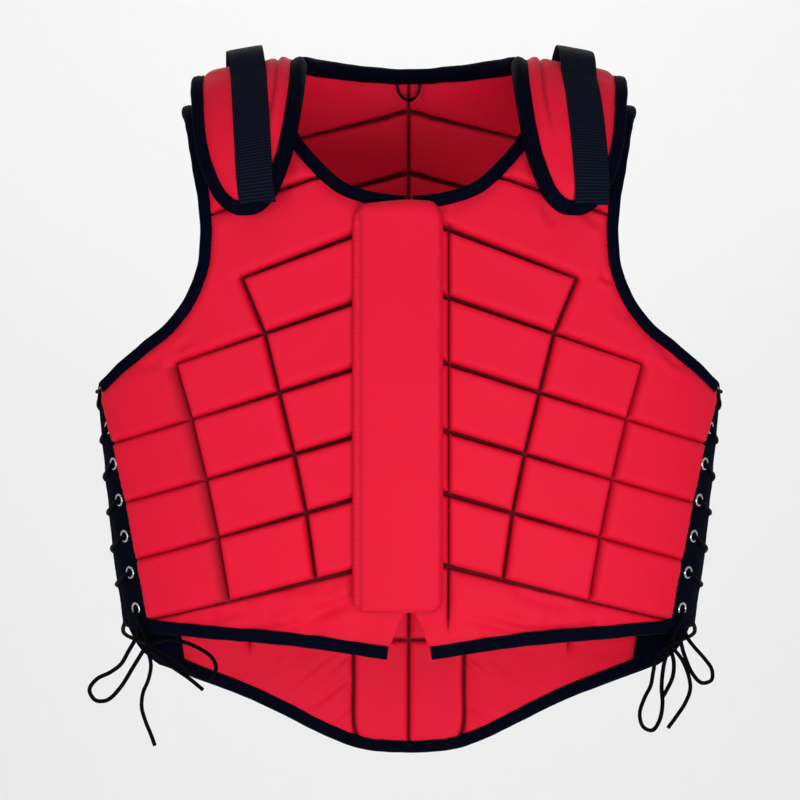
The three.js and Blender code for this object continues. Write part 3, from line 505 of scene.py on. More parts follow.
FRONT_ARMHOLE = [(0.732, 0.012), (0.72, 0.055), (0.678, 0.151), (0.657, 0.213), (0.651, 0.268),
                 (0.662, 0.323), (0.699, 0.374), (0.753, 0.415), (0.831, 0.45), (0.905, 0.484),
                 (0.946, 0.506)]
FRONT_NECK = [(0.385, -0.01), (0.376, 0.046), (0.34, 0.094), (0.272, 0.142), (0.2, 0.176), (0.132, 0.19),
              (0.062, 0.197), (0.01, 0.2)]
FRONT_HEM = [(0.07, 1.0), (0.343, 0.979), (0.628, 0.967), (0.803, 0.961)]
BACK_ARMHOLE = [(0.686, -0.01), (0.702, 0.046), (0.686, 0.125), (0.672, 0.177), (0.67, 0.222), (0.68, 0.268),
                (0.716, 0.31), (0.771, 0.344), (0.841, 0.373), (0.911, 0.401), (0.948, 0.419)]
BACK_NECK = [(0.325, -0.055), (0.277, -0.046), (0.132, -0.047), (0.0, -0.047)]
BACK_HEM = [(0.0, 1.0), (0.16, 0.994), (0.26, 0.977), (0.512, 0.918), (0.723, 0.876), (0.81, 0.858)]
front_armhole = catmull(edge_from(FRONT_ARMHOLE, FRONT_LENGTH, 0), 90)
front_neck = catmull(edge_from(FRONT_NECK, FRONT_LENGTH, 0), 70)
front_hem = catmull(edge_from(FRONT_HEM, FRONT_LENGTH, 0), 60)
back_armhole = catmull(edge_from(BACK_ARMHOLE, BACK_LENGTH, PAD_LAP), 90)


def over_middle(half):
    return np.vstack([half[1:][::-1] * [-1, 1], half])


back_neck = catmull(over_middle(edge_from(BACK_NECK, BACK_LENGTH, PAD_LAP)[::-1]), 120)
back_hem = catmull(over_middle(edge_from(BACK_HEM, BACK_LENGTH, PAD_LAP)), 160)


def edge_frames(points, surface, outward, inward_side):
    place = surface(points[:, 0], points[:, 1])
    tangent = np.gradient(place, axis=0)
    tangent /= np.linalg.norm(tangent, axis=1, keepdims=True)
    n = normals(surface, points[:, 0], points[:, 1], outward)
    across = inward_side * np.cross(n, tangent)
    across /= np.linalg.norm(across, axis=1, keepdims=True)
    out = inward_side * np.cross(tangent, across)
    out /= np.linalg.norm(out, axis=1, keepdims=True)
    return place, across, out


def inset_edge(points, surface, outward, inward_side, distance, reach=5e-4):
    _, across, _ = edge_frames(points, surface, outward, inward_side)
    x, run = points.T
    along = (surface(x + reach, run) - surface(x - reach, run)) / (2 * reach)
    up = (surface(x, run + reach) - surface(x, run - reach)) / (2 * reach)
    a, b, c = (along * along).sum(1), (along * up).sum(1), (up * up).sum(1)
    p, q = (across * along).sum(1) * distance, (across * up).sum(1) * distance
    scale = a * c - b * b
    return np.stack([x + (p * c - q * b) / scale, run + (q * a - p * b) / scale], -1)


# Quilting: foam blocks between two layers of nylon, parted by stitched grooves that fall towards the
# sides. Below the last row the cover hangs as a thin apron with soft folds.
# A row's values are shares: how far down its lower groove starts at the middle, how fast it falls,
# where the inner and the outer seam and the side lie on it, then how far the groove reaches (1 to the
# inner seam, 2 to the outer one, 3 to the side) and how many seams there are under it.
FOAM_OUT = 0.010
FOAM_IN = 0.006
QUILTED = 0.002
APRON_OUT = 0.0045
APRON_IN = 0.0035
PAST_SIDE = 0.004
# How far each edge of a foam block takes to round from its groove into the flat face
UNDER_ROUND = 0.0068
OVER_ROUND = 0.0036
TOWARDS_MIDDLE_ROUND = 0.0065
TOWARDS_SIDE_ROUND = 0.0045
SPINE_ROUND = 0.006
SIDE_ROUND = 0.006
APRON_ROUND = 0.010
# Half widths of the grooves where they are stitched
INNER_SEAM_GAP = 0.0010
OUTER_SEAM_GAP = 0.0001
SPINE_GAP = 0.0007
APRON_EASE = 0.009

DOWN, FALL, INNER, OUTER, SIDE, REACH, SEAMS = range(7)
#              down   fall   inner  outer  side   reach seams
FRONT_ROWS = [(0.117, 0.338, 0.579, 0.826, 0.975, 3, 0),
              (0.234, 0.376, 0.517, 0.773, 0.975, 1, 1),
              (0.353, 0.342, 0.446, 0.719, 0.962, 2, 2),
              (0.47, 0.31, 0.401, 0.669, 0.92, 3, 2),
              (0.587, 0.295, 0.355, 0.624, 0.88, 3, 2),
              (0.695, 0.29, 0.318, 0.587, 0.845, 3, 2),
              (0.821, 0.257, 0.289, 0.554, 0.812, 3, 2)]
BACK_ROWS = [(0.015, 0.24, 0.36, 0.62, 0.975, 3, 0),
             (0.108, 0.25, 0.42, 0.7, 0.975, 3, 0),
             (0.203, 0.25, 0.41, 0.74, 0.975, 3, 1),
             (0.3, 0.25, 0.38, 0.71, 0.975, 2, 2),
             (0.397, 0.25, 0.35, 0.68, 0.962, 3, 2),
             (0.494, 0.24, 0.32, 0.65, 0.92, 3, 2),
             (0.591, 0.22, 0.28, 0.61, 0.88, 3, 2),
             (0.688, 0.2, 0.23, 0.56, 0.845, 3, 2),
             (0.825, 0.0, 0.2, 0.53, 0.818, 1, 2)]


def row_run(row, x, length, lap):
    return run_at(np.abs(x), -row[DOWN] * length - row[FALL] * np.abs(x), lap)


def groove_lines(rows, length, lap, centre, sign=1):
    """The stitched grooves between the foam blocks, as lines on the body."""
    lines = []
    for row in rows:
        seams = [centre, row[INNER] * CHEST_HALF, row[OUTER] * CHEST_HALF, row[SIDE] * CHEST_HALF + PAST_SIDE]
        x = np.linspace(centre, seams[row[REACH]], 14)
        lines.append(np.stack([sign * x, row_run(row, x, length, lap)], -1))
    for k, row in enumerate(rows[:-1]):
        below = rows[k + 1]
        for column in (1, 2):
            if row[SEAMS] >= column:
                xs = np.array([row[FALL + column], below[FALL + column]]) * CHEST_HALF
                t = np.linspace(0, 1, 6)
                x = xs[0] + (xs[1] - xs[0]) * t
                a, b = row_run(row, xs[0], length, lap), row_run(below, xs[1], length, lap)
                lines.append(np.stack([sign * x, a + (b - a) * t], -1))
    return lines


def side_edge(height):
    rows = FRONT_ROWS[2:]
    depth = [row[DOWN] * FRONT_LENGTH + row[FALL] * row[SIDE] * CHEST_HALF for row in rows]
    return CHEST_HALF * np.interp(-height, depth, [row[SIDE] for row in rows])


def block_number(body, rows, length, lap):
    """Row and column of the foam block that each point is on. The seams slant from one row to the next."""
    x, run = np.abs(body[:, 0]), body[:, 1]
    row_index = np.zeros(len(x), int)
    for k, row in enumerate(rows):
        row_index = np.where(run < row_run(row, x, length, lap), k + 1, row_index)
    column_index = np.zeros(len(x), int)
    for column in (1, 2):
        seam = np.full(len(x), CHEST_HALF)
        for k, row in enumerate(rows):
            if row[SEAMS] < column:
                continue
            below = rows[min(k + 1, len(rows) - 1)]
            ends = np.array([row[FALL + column], below[FALL + column]]) * CHEST_HALF
            top, low = row_run(row, ends[0], length, lap), row_run(below, ends[1], length, lap)
            share = np.clip((top - run) / max(top - low, 1e-6), 0, 1)
            seam = np.where(row_index == k + 1, ends[0] + (ends[1] - ends[0]) * share, seam)
        column_index += x > seam
    return row_index, column_index


def quilt_heights(rows, length, lap, centre, both, seed, crease_table, apron_from,
                  tail_lines=(), roll=0.009, strip=None):
    """The two faces of a quilted panel, and a painted shade for the material. A block's upper edge is crisp,
    its lower edge is rounder, its edge at the outer seam rolls softly, and the grooves are widest beside the
    middle. The painted shade is darker deep in the grooves and in the apron beside the blocks, with a painted
    shadow beside the outer seams."""
    signs = (1, -1) if both else (1,)
    row_lines, seam_lines = [], {1: [], 2: []}
    for sign in signs:
        lines = groove_lines(rows, length, lap, centre, sign)
        row_lines.append(lines[:len(rows)])
        rest = iter(lines[len(rows):])
        for row in rows[:-1]:
            for column in (1, 2):
                if row[SEAMS] >= column:
                    seam_lines[column].append(next(rest))
    widest = 0.0008 if both else 0.0013
    row_gap = lambda x: np.interp(x, [0.02, 0.10, 0.16, 0.24], [widest, 0.0009, 0.0003, 0.0001])
    seam_gap = {1: lambda x: x * 0 + INNER_SEAM_GAP, 2: lambda x: x * 0 + OUTER_SEAM_GAP}
    spine_gap = lambda x: x * 0 + SPINE_GAP
    seam_lines[1] += tail_lines
    grooves = [line for group in row_lines for line in group]
    gaps = [row_gap] * len(grooves)
    for column in (1, 2):
        grooves += seam_lines[column]
        gaps += [seam_gap[column]] * len(seam_lines[column])
    if strip is not None:
        grooves.append(strip)
        gaps.append(seam_gap[2])
    if both:
        grooves.append(np.stack([np.zeros(60), np.linspace(SHOULDER_RUN, -length * 1.04, 60)], -1))
        gaps.append(spine_gap)

    def flat_line(line):
        return np.stack([to_arc(line[:, 0], line[:, 1]), line[:, 1]], -1)

    def heights(flat, body, base, to_edge):
        x, run = np.abs(body[:, 0]), body[:, 1]
        row_index, column = block_number(body, rows, length, lap)
        row_index = np.minimum(row_index, len(rows))
        apron = row_index == len(rows)
        if apron_from:
            tail = np.vstack([tail_lines[0], [(0, -0.54), (0, TAIL_TOP)]])
            apron &= (x > apron_from) | ~inside(np.stack([x, run], -1), tail)
        full = rounded(to_edge + 0.0012, SIDE_ROUND)
        near = np.full(len(flat), 1e9)
        along = np.zeros(len(flat))
        open_by = row_gap(np.abs(flat[:, 0]))
        for k, row in enumerate(rows):
            d, t = distance_to_lines(flat, [flat_line(group[k]) for group in row_lines])
            above = run > row_run(row, x, length, lap)
            d = np.maximum(d - open_by, 0)
            rise = np.where(above, rounded(d, UNDER_ROUND), rounded(d, OVER_ROUND))
            rise = np.maximum(rise, np.interp(x, [0.10, 0.20], [0.0, 0.30]))
            full = np.minimum(full, rise)
            along = np.where(d < near, t + 9 * k, along)
            near = np.minimum(near, d)
        for c, outer_round in ((1, TOWARDS_MIDDLE_ROUND), (2, roll)):
            if not seam_lines[c]:
                continue
            d, t = distance_to_lines(flat, [flat_line(line) for line in seam_lines[c]])
            d = np.maximum(d - seam_gap[c](x), 0)
            rolled = 1 - (1 - np.clip(d / outer_round, 0, 1)) ** 2.2
            outside = rolled if c == 2 else rounded(d, outer_round)
            rise = np.where(column >= c, outside, rounded(d, TOWARDS_SIDE_ROUND))
            full = np.minimum(full, rise)
            if c == 2:
                # Painted shadow beside the outer seam: strongest at the seam and fading out where the outer
                # block rolls down.
                shaded = np.where(column >= 2, np.exp(-(d / (0.42 * roll)) ** 1.4), 0)
            along = np.where(d < near, t + 90 * c, along)
            near = np.minimum(near, d)
        if strip is not None:
            d, t = distance_to_lines(flat, [flat_line(strip)])
            full = np.minimum(full, rounded(d, TOWARDS_SIDE_ROUND))
            near = np.minimum(near, d)
        if both:
            d = np.maximum(x - spine_gap(x), 0)
            full = np.minimum(full, rounded(d, SPINE_ROUND))
            along = np.where(d < near, run, along)
            near = np.minimum(near, d)
        rng = np.random.default_rng(seed)
        tilt = rng.uniform(-1, 1, (16, 4, 2, 3))
        t = tilt[row_index, column, (body[:, 0] > 0).astype(int)]
        local = t[:, 0] * 0.5 + t[:, 1] * np.sin(body[:, 0] * 38) * 0.5
        local = local + t[:, 2] * np.sin(flat[:, 1] * 60) * 0.6
        soft = waves(flat, 0.06, seed + 1)
        pucker = waves(np.stack([along, near * 0.35], -1), 0.011, seed + 2) * np.exp(-(near / 0.007) ** 2)
        dish = -0.0005 * (1 - np.exp(-(near / 0.012) ** 2))
        low = QUILTED * 0.3
        out = low + (FOAM_OUT - low) * full
        out += full * (dish + 0.0005 * local + 0.00035 * soft) + 0.00012 * pucker * full
        plain = APRON_OUT + 0.0016 * waves(flat * [1, 0.35], 0.055, seed + 5)
        plain += 0.0007 * waves(flat, 0.022, seed + 6) * np.exp(-(near / 0.05) ** 2)
        plain = low + (plain - low) * rounded(near, APRON_ROUND)
        below = np.clip((row_run(rows[-1], x, length, lap) - run) / APRON_EASE, 0, 1) if apron_from else 1.0
        eased = np.where(apron, below ** 2 * (3 - 2 * below), 0)
        out = out + (plain - out) * eased
        for x0, z0, x1, z1, wide, deep in crease_table:
            bend = 0.08
            middle = [(x0 + x1) / 2 + (z1 - z0) * bend, (z0 + z1) / 2 - (x1 - x0) * bend]
            line = np.array([[x0, z0], middle, [x1, z1]])
            d, t = distance_to_lines(flat, [flat_line(catmull(line, 12))])
            whole = math.hypot(x1 - x0, z1 - z0)
            fade = np.clip(np.minimum(t, whole - t) / (0.25 * whole), 0.0, 1)
            out += fade * deep * (-np.exp(-(d / wide) ** 2) + 0.5 * np.exp(-((d - 2.1 * wide) / wide) ** 2))
        within = QUILTED * 0.4 + (FOAM_IN - QUILTED * 0.4) * full + full * (0.0004 * soft + 0.0003 * local)
        fold_across = 0.6 * x + 0.8 * run
        fold_along = 0.8 * x - 0.6 * run
        gather = waves(np.stack([fold_across, fold_along * 0.22 + np.sign(body[:, 0])], -1), 0.016, seed + 8)
        gather = gather * (0.35 + np.exp(-np.maximum(x - 0.05, 0) / 0.05))
        hang = QUILTED * 0.4 + (APRON_IN - QUILTED * 0.4 + 0.0016 * gather) * rounded(near, APRON_ROUND)
        within = within + (hang - within) * eased
        # Painted shade, returned for the material: darker where the foam sinks into the grooves, in the apron
        # just beside the blocks, and in a painted shadow beside the outer seams.
        beside_block = np.clip(1 - near / 0.0022, 0, 1) ** 1.3
        dark = np.where(apron, beside_block, np.clip(1 - full * 1.5, 0, 1) ** 1.3)
        dark = np.maximum(dark, np.where(apron, 0, 58 * roll * shaded))
        dark = dark * np.where(to_edge < near, 0.0, 1.0)
        return out, within, dark

    return grooves, gaps, heights


# Front panels: left and right quilted halves that meet under the flap of the closure. Their covers are
# red nylon over foam blocks, pressed down where the tape is sewn on, with small creases of their own.
half_opening = 0.0015
armhole_in = inset_edge(front_armhole, front_surface, 1, -1, TAPE_WIDTH - TAPE_LAP)
neck_in = inset_edge(front_neck, front_surface, 1, 1, TAPE_WIDTH - TAPE_LAP)
hem_in = inset_edge(front_hem, front_surface, 1, 1, TAPE_WIDTH - TAPE_LAP)
side_heights = np.linspace(armhole_in[-1, 1] - 0.004, hem_in[-1, 1] + 0.004, 40)
front_side = np.stack([side_edge(side_heights), side_heights], -1)
front_outline = np.vstack([armhole_in, front_side, hem_in[::-1], [[half_opening, -0.395]],
                           [[half_opening, neck_in[-1, 1]]], neck_in[::-1]])
front_outline[0, 1] = SHOULDER_RUN - 0.002
front_outline[-1, 1] = SHOULDER_RUN - 0.002
# Creases of the cover: two ends on the body, then how wide and how deep
FRONT_CREASES = {
    "left": [
        (0.174, -0.204, 0.158, -0.196, 0.0026, 0.0016),
        (0.178, -0.209, 0.222, -0.214, 0.0034, 0.0014),
        (0.168, -0.150, 0.190, -0.166, 0.0030, 0.0012),
        (0.045, -0.392, 0.150, -0.418, 0.0042, 0.0020),
        (0.030, -0.386, 0.095, -0.398, 0.0042, 0.0016),
        (0.120, -0.398, 0.185, -0.403, 0.0036, 0.0017),
        (0.060, -0.372, 0.110, -0.384, 0.0036, 0.0010),
        (0.125, -0.088, 0.155, -0.108, 0.0036, 0.0012),
    ],
    "right": [
        (0.139, -0.147, 0.156, -0.150, 0.0024, 0.0022),
        (0.143, -0.139, 0.150, -0.153, 0.0022, 0.0014),
        (0.184, -0.197, 0.213, -0.220, 0.0030, 0.0022),
        (0.181, -0.200, 0.190, -0.189, 0.0024, 0.0018),
        (0.150, -0.165, 0.172, -0.182, 0.0040, 0.0010),
        (0.032, -0.402, 0.165, -0.408, 0.0034, 0.0020),
        (0.070, -0.380, 0.150, -0.396, 0.0042, 0.0013),
        (0.120, -0.088, 0.150, -0.112, 0.0036, 0.0012),
        (0.100, -0.094, 0.110, -0.110, 0.0034, 0.0010),
    ],
}
ahead = armhole_in[-1] - armhole_in[-2]
armhole_bound = np.vstack([armhole_in, armhole_in[-1] + ahead / np.linalg.norm(ahead) * 0.009])
for side, seed in (("right", 11), ("left", 57)):
    strip = np.stack([np.full(60, 0.0292), np.linspace(-0.112, -0.404, 60)], -1) if side == "right" else None
    grooves, gaps, heights = quilt_heights(
        FRONT_ROWS, FRONT_LENGTH, 0, half_opening, False, seed, FRONT_CREASES[side], None,
        roll=0.015 if side == "left" else 0.008, strip=strip)
    panel = sheet_mesh(f"front_panel_{side}_cover", front_outline, front_surface, 1, heights, 0.0024, grooves,
                       bound=(armhole_bound, neck_in, hem_in), gaps=gaps)
    if side == "left":
        source = panel
        source.name = "front_source"
        panel = mirror_object(source, "front_panel_left_cover")
        bpy.data.objects.remove(source)
    finished(panel, red_nylon, "red_nylon", f"front_panel_{side}")

# Back panel: one quilted piece with a seam down the spine, longer than the front, with a rounded tail
# block in the middle of its apron. It turns over the shoulders, where the pads lie on it.
armhole_in = inset_edge(back_armhole, back_surface, -1, 1, TAPE_WIDTH - TAPE_LAP)
neck_in = inset_edge(back_neck, back_surface, -1, 1, TAPE_WIDTH - TAPE_LAP)
hem_in = inset_edge(back_hem, back_surface, -1, -1, TAPE_WIDTH - TAPE_LAP)
side_heights = np.linspace(armhole_in[-1, 1] - 0.004, hem_in[-1, 1] + 0.004, 40)
back_side = np.stack([side_edge(side_heights), side_heights], -1)
neck_half = neck_in[neck_in[:, 0] >= 0]
neck_half = neck_half[np.argsort(neck_half[:, 0])]
hem_half = hem_in[hem_in[:, 0] >= 0]
hem_half = hem_half[np.argsort(-hem_half[:, 0])]
half = np.vstack([neck_half, armhole_in, back_side, hem_half])
half[len(neck_half) - 1] = (neck_half[-1, 0] + 0.004, SHOULDER_RUN - 0.002)
half[len(neck_half)] = (armhole_in[0, 0] - 0.004, SHOULDER_RUN - 0.002)
half = half[half[:, 0] > 0.0005]
back_outline = np.vstack([half, half[::-1] * [-1, 1]])
TAIL_HALF, TAIL_TOP = 0.0445, -0.434
tail_block = catmull(np.array([(TAIL_HALF, TAIL_TOP), (TAIL_HALF, -0.470), (TAIL_HALF, -0.500),
                               (0.0425, -0.510), (0.037, -0.5165), (0.033, -0.520), (0.030, -0.528)]), 24)
back_grooves, back_gaps, back_heights = quilt_heights(
    BACK_ROWS, BACK_LENGTH, PAD_LAP, 0.0, True, 31, [], TAIL_HALF, [tail_block, tail_block * [-1, 1]])
back_panel = sheet_mesh("back_panel_cover", back_outline, back_surface, -1, back_heights, 0.003, back_grooves,
                        bound=(armhole_in, armhole_in * [-1, 1], neck_in, hem_in), gaps=back_gaps)
finished(back_panel, red_nylon, "red_nylon", "back_panel")


# Binding: navy woven tape folded over the neck, armhole and hem edges and stitched down along both
# its edges, so that it is round outside and dips at the stitches.
def swept(name, frames, section, ends=True):
    place, across, out = frames
    section = np.asarray(section, float)
    if section.ndim == 2:
        section = np.broadcast_to(section, (len(place), *section.shape))
    pts = place[:, None] + across[:, None] * section[..., :1] + out[:, None] * section[..., 1:]
    rows, sides = pts.shape[:2]
    faces = []
    for k in range(rows - 1):
        for i in range(sides):
            j = (i + 1) % sides
            faces.append((k * sides + i, k * sides + j, (k + 1) * sides + j, (k + 1) * sides + i))
    if ends:
        faces.append(tuple(reversed(range(sides))))
        faces.append(tuple((rows - 1) * sides + i for i in range(sides)))
    return pts.reshape(-1, 3), faces


def face_out(obj):
    bm = bmesh.new()
    bm.from_mesh(obj.data)
    bmesh.ops.recalc_face_normals(bm, faces=bm.faces)
    bm.to_mesh(obj.data)
    bm.free()
    return obj


def tape_section(thick_out, thick_in, wide):
    """Round outer fold, nearly flat faces that dip where they are stitched down."""
    pts = []
    mid = (thick_out - thick_in) / 2
    half = (thick_out + thick_in) / 2
    for a in np.linspace(math.pi / 2, 3 * math.pi / 2, 9):
        pts.append((0.0032 + 0.0032 * math.cos(a), mid + half * math.sin(a)))
    pts.append((wide * 0.62, -thick_in - 0.0002))
    pts.append((wide - 0.0017, -thick_in + 0.0005))
    pts.append((wide, -thick_in + 0.0002))
    pts.append((wide + 0.0002, -thick_in + 0.0012))
    pts.append((wide + 0.0002, thick_out - 0.0012))
    pts.append((wide, thick_out - 0.0002))
    pts.append((wide - 0.0017, thick_out - 0.0005))
    pts.append((wide * 0.62, thick_out + 0.0002))
    return np.array(pts)


def binding(name, edge, surface, outward, side, seed, run_on=0.0):
    step = 0.0028
    place = surface(edge[:, 0], edge[:, 1])
    length = np.linalg.norm(np.diff(place, axis=0), axis=1).sum()
    fine = catmull(edge, max(12, int(length / step)))
    if run_on:
        ahead = (fine[-1] - fine[-2]) / np.linalg.norm(fine[-1] - fine[-2])
        fine = np.vstack([fine, [fine[-1] + ahead * run_on * k / 3 for k in (1, 2, 3)]])
    frames = edge_frames(fine, surface, outward, side)
    section = tape_section(TAPE_OUT, TAPE_IN, TAPE_WIDTH)
    k = np.arange(len(fine))
    wobble = waves(np.stack([k * step, k * 0.0], -1), 0.03, seed) * 0.0003
    ripple = waves(np.stack([k * step, k * 0.0], -1), 0.009, seed + 1) * 0.00018
    sections = np.repeat(section[None], len(fine), 0)
    sections[..., 0] += wobble[:, None]
    sections[..., 1] *= (1 + ripple[:, None] * 40)
    pts, faces = swept(name, frames, sections)
    return face_out(make_object(name, pts, faces))


for name, edge, surface, outward, side, both in (
    ("front_neck_binding", front_neck, front_surface, 1, 1, True),
    ("front_armhole_binding", front_armhole, front_surface, 1, -1, True),
    ("front_hem_binding", front_hem, front_surface, 1, 1, True),
    ("back_armhole_binding", back_armhole, back_surface, -1, 1, True),
    ("back_neck_binding", back_neck, back_surface, -1, 1, False),
    ("back_hem_binding", back_hem, back_surface, -1, -1, False),
):
    run_on = 0.0062 if "armhole" in name else 0.0
    whole = name + "_right" if both else name
    tape = binding(whole + "_tape", edge, surface, outward, side, len(name), run_on)
    tape.data.materials.append(navy_tape)
    if both:
        twin = mirror_object(tape, name + "_left_tape")
        finished(tape, None, "navy_tape", name + "_right")
        finished(twin, None, "navy_tape", name + "_left")
    else:
        finished(tape, None, "navy_tape", name)


# Shoulder pads: tongues of soft padding in red nylon, bound with the same tape, that hang from the top
# of the shoulder over the front panels. A strap of ribbed navy webbing runs over each of them, arches
# over the top and goes down at the back.
PAD_LENGTH = 0.149
PAD_INNER = 0.080
PAD_OUTER = 0.169
PAD_SHAPE = [(0, 0, 1), (0.22, -0.01, 0.99), (0.45, 0.0, 0.96), (0.65, 0.045, 0.92), (0.8, 0.11, 0.85),
             (0.93, 0.23, 0.73), (0.99, 0.36, 0.6)]
STRAP_CENTRE = 0.125
STRAP_WIDTH = 0.028
STRAP_FRONT = 0.143
STRAP_BACK = 0.105
STRAP_THICK = 0.0018
STRAP_ARCH = 0.011


def pad_edge():
    wide = PAD_OUTER - PAD_INNER
    inner = [(PAD_INNER + i * wide, SHOULDER_RUN - a * PAD_LENGTH) for a, i, o in PAD_SHAPE]
    outer = [(PAD_INNER + o * wide, SHOULDER_RUN - a * PAD_LENGTH) for a, i, o in PAD_SHAPE]
    tip = [((inner[-1][0] + outer[-1][0]) / 2, SHOULDER_RUN - PAD_LENGTH)]
    return catmull(inner + tip + outer[::-1], 130)


pad_line = pad_edge()
pad_in = inset_edge(pad_line, pad_surface, 1, 1, TAPE_WIDTH - TAPE_LAP)


def pad_heights(flat, body, base, to_edge):
    rise = 1 - np.exp(-(np.maximum(to_edge - 0.001, 0) / 0.0085))
    out = 0.0062 + 0.0046 * rise + 0.0006 * waves(flat, 0.04, 71)
    fold, _ = distance_to_lines(flat, [fold_line])
    inner = flat[:, 0] < np.interp(flat[:, 1], fold_line[::-1, 1], fold_line[::-1, 0])
    fade = np.clip((flat[:, 1] - fold_line[-1, 1]) / 0.03, 0, 1)
    out -= 0.0019 * np.exp(-(fold / 0.0015) ** 2) * fade
    out += 0.0011 * np.exp(-((fold - 0.005) / 0.0035) ** 2) * fade * np.where(inner, 1, 0.5)
    under = np.exp(-(np.maximum(np.abs(body[:, 0] - STRAP_CENTRE) - STRAP_WIDTH / 2, 0) / 0.006) ** 2)
    out -= 0.0006 * under * np.clip(1 - (body[:, 1] + 0.02) / 0.05, 0, 1)
    within = 0.005 + 0.0012 * rise
    # The third value is painted shade along the crease of the fold.
    return out, within, np.exp(-(fold / 0.0010) ** 2) * 0.45 * fade


fold_runs = np.linspace(SHOULDER_RUN, SHOULDER_RUN - 0.105, 36)
fold_shares = (SHOULDER_RUN - fold_runs) / PAD_LENGTH
fold_in = np.interp(fold_shares, [row[0] for row in PAD_SHAPE], [row[1] for row in PAD_SHAPE])
fold_line = np.stack([PAD_INNER + fold_in * (PAD_OUTER - PAD_INNER) + 0.0205, fold_runs], -1)
pad_right = sheet_mesh("shoulder_pad_right_cover", pad_in, pad_surface, 1, pad_heights, 0.0024, [fold_line],
                       arc=False, bound=(pad_in,))
pad_right.data.materials.append(red_nylon)
pad_left = mirror_object(pad_right, "shoulder_pad_left_cover")
for pad, side in ((pad_right, "right"), (pad_left, "left")):
    finished(pad, None, "red_nylon", f"shoulder_pad_{side}")
tape = binding("shoulder_pad_binding_right_tape", pad_line, pad_surface, 1, 1, 5)
tape.data.materials.append(navy_tape)
finished(tape, None, "navy_tape", "shoulder_pad_binding_right")
twin = mirror_object(tape, "shoulder_pad_binding_left_tape")
finished(twin, None, "navy_tape", "shoulder_pad_binding_left")


def webbing(name, lean):
    runs = np.linspace(SHOULDER_RUN - STRAP_FRONT, SHOULDER_RUN + STRAP_BACK, 150)
    across_at = STRAP_CENTRE + lean * np.clip((SHOULDER_RUN - runs) / STRAP_FRONT, -0.3, 1)
    points = np.stack([across_at, runs], -1)
    place, across, out = edge_frames(points, pad_surface, 1, 1)
    away = runs - SHOULDER_RUN
    arch = STRAP_ARCH * np.maximum(0, 1 - (away / PAD_LAP / 2) ** 2)
    near = np.clip((away + 0.008) / 0.016, 0, 1)
    base = 0.0095 + near * 0.001 + arch
    base = base - 0.0046 * np.clip(1 - (away + STRAP_FRONT) / 0.017, 0, 1) ** 1.5
    place = place + out * base[:, None]
    half, thick = STRAP_WIDTH / 2, STRAP_THICK
    top = [(s * half, thick * (1 - 0.25 * abs(s) ** 6)) for s in np.linspace(1, -1, 15)]
    under = [(s * half, thick * 0.2 * abs(s) ** 6) for s in np.linspace(-1, 1, 9)]
    section = np.array(top + under)
    pts, faces = swept("", (place, across, out), section)
    obj = make_object(name, pts, faces)
    store(obj, "cover_u", np.tile(section[:, 0], len(runs)))
    store(obj, "cover_v", np.repeat(runs, len(section)))
    return face_out(obj)


strap = webbing("shoulder_strap_right_webbing", 0.010)
finished(strap, navy_webbing, "navy_webbing", "shoulder_strap_right")
source = webbing("strap_source", -0.013)
strap = mirror_object(source, "shoulder_strap_left_webbing")
bpy.data.objects.remove(source)
finished(strap, navy_webbing, "navy_webbing", "shoulder_strap_left")

# Flap over the closure: a long padded strip of red nylon with round corners, stitched along its left
# edge. The closure's navy tape lies behind it, between the two front panels.
PLACK_LEFT, PLACK_RIGHT = -0.042, 0.025
PLACK_TOP, PLACK_BOTTOM = -0.0995, -0.399
PLACK_CORNER = 0.010
STITCH_X = PLACK_LEFT + 0.006
ZIP_HALF = 0.009


def rounded_box(left, right, low, high, r):
    corners = [(right - r, high - r, 0), (left + r, high - r, 90), (left + r, low + r, 180),
               (right - r, low + r, 270)]
    pts = []
    for cx, cy, start in corners:
        for a in np.radians(np.linspace(start, start + 90, 7)):
            pts.append((cx + r * math.cos(a), cy + r * math.sin(a)))
    return np.array(pts)


def placket_heights(flat, body, base, to_edge):
    lowest = FOAM_OUT + 0.0008
    rise = np.sqrt(np.maximum(0, 1 - (1 - np.clip(to_edge / 0.006, 0, 1)) ** 2))
    stitch = np.abs(body[:, 0] - STITCH_X)
    out = lowest + 0.0026 + 0.0062 * rise + 0.0004 * waves(flat * [1, 0.3], 0.05, 91)
    out -= 0.0011 * np.exp(-(stitch / 0.0011) ** 2) * np.clip(to_edge / 0.004, 0, 1)
    out -= 0.0016 * np.exp(-np.maximum(body[:, 0] - STITCH_X, 0) / 0.003) * (to_edge > 0.003)
    # The third value is painted shade in the stitched dip.
    return out, np.full(len(flat), -lowest), np.exp(-(stitch / 0.0007) ** 2) * 0.3


stitch_line = np.stack([np.full(60, STITCH_X), np.linspace(PLACK_TOP, PLACK_BOTTOM, 60)], -1)
placket_outline = rounded_box(PLACK_LEFT, PLACK_RIGHT, PLACK_BOTTOM, PLACK_TOP, PLACK_CORNER)
placket = sheet_mesh("placket_cover", placket_outline, front_surface, 1, placket_heights, 0.0022,
                     [stitch_line], arc=False)
finished(placket, red_nylon, "red_nylon", "placket")


def zip_heights(flat, body, base, to_edge):
    return np.full(len(flat), -(FOAM_IN + 0.0013)), np.full(len(flat), FOAM_IN + 0.0033), np.zeros(len(flat))


zip_outline = rounded_box(-ZIP_HALF, ZIP_HALF, PLACK_BOTTOM + TAPE_WIDTH, PLACK_TOP - TAPE_WIDTH, 0.001)
zip_strip = sheet_mesh("front_zip_tape", zip_outline, front_surface, 1, zip_heights, 0.003, [], arc=False)
finished(zip_strip, navy_tape, "navy_tape", "front_zip")

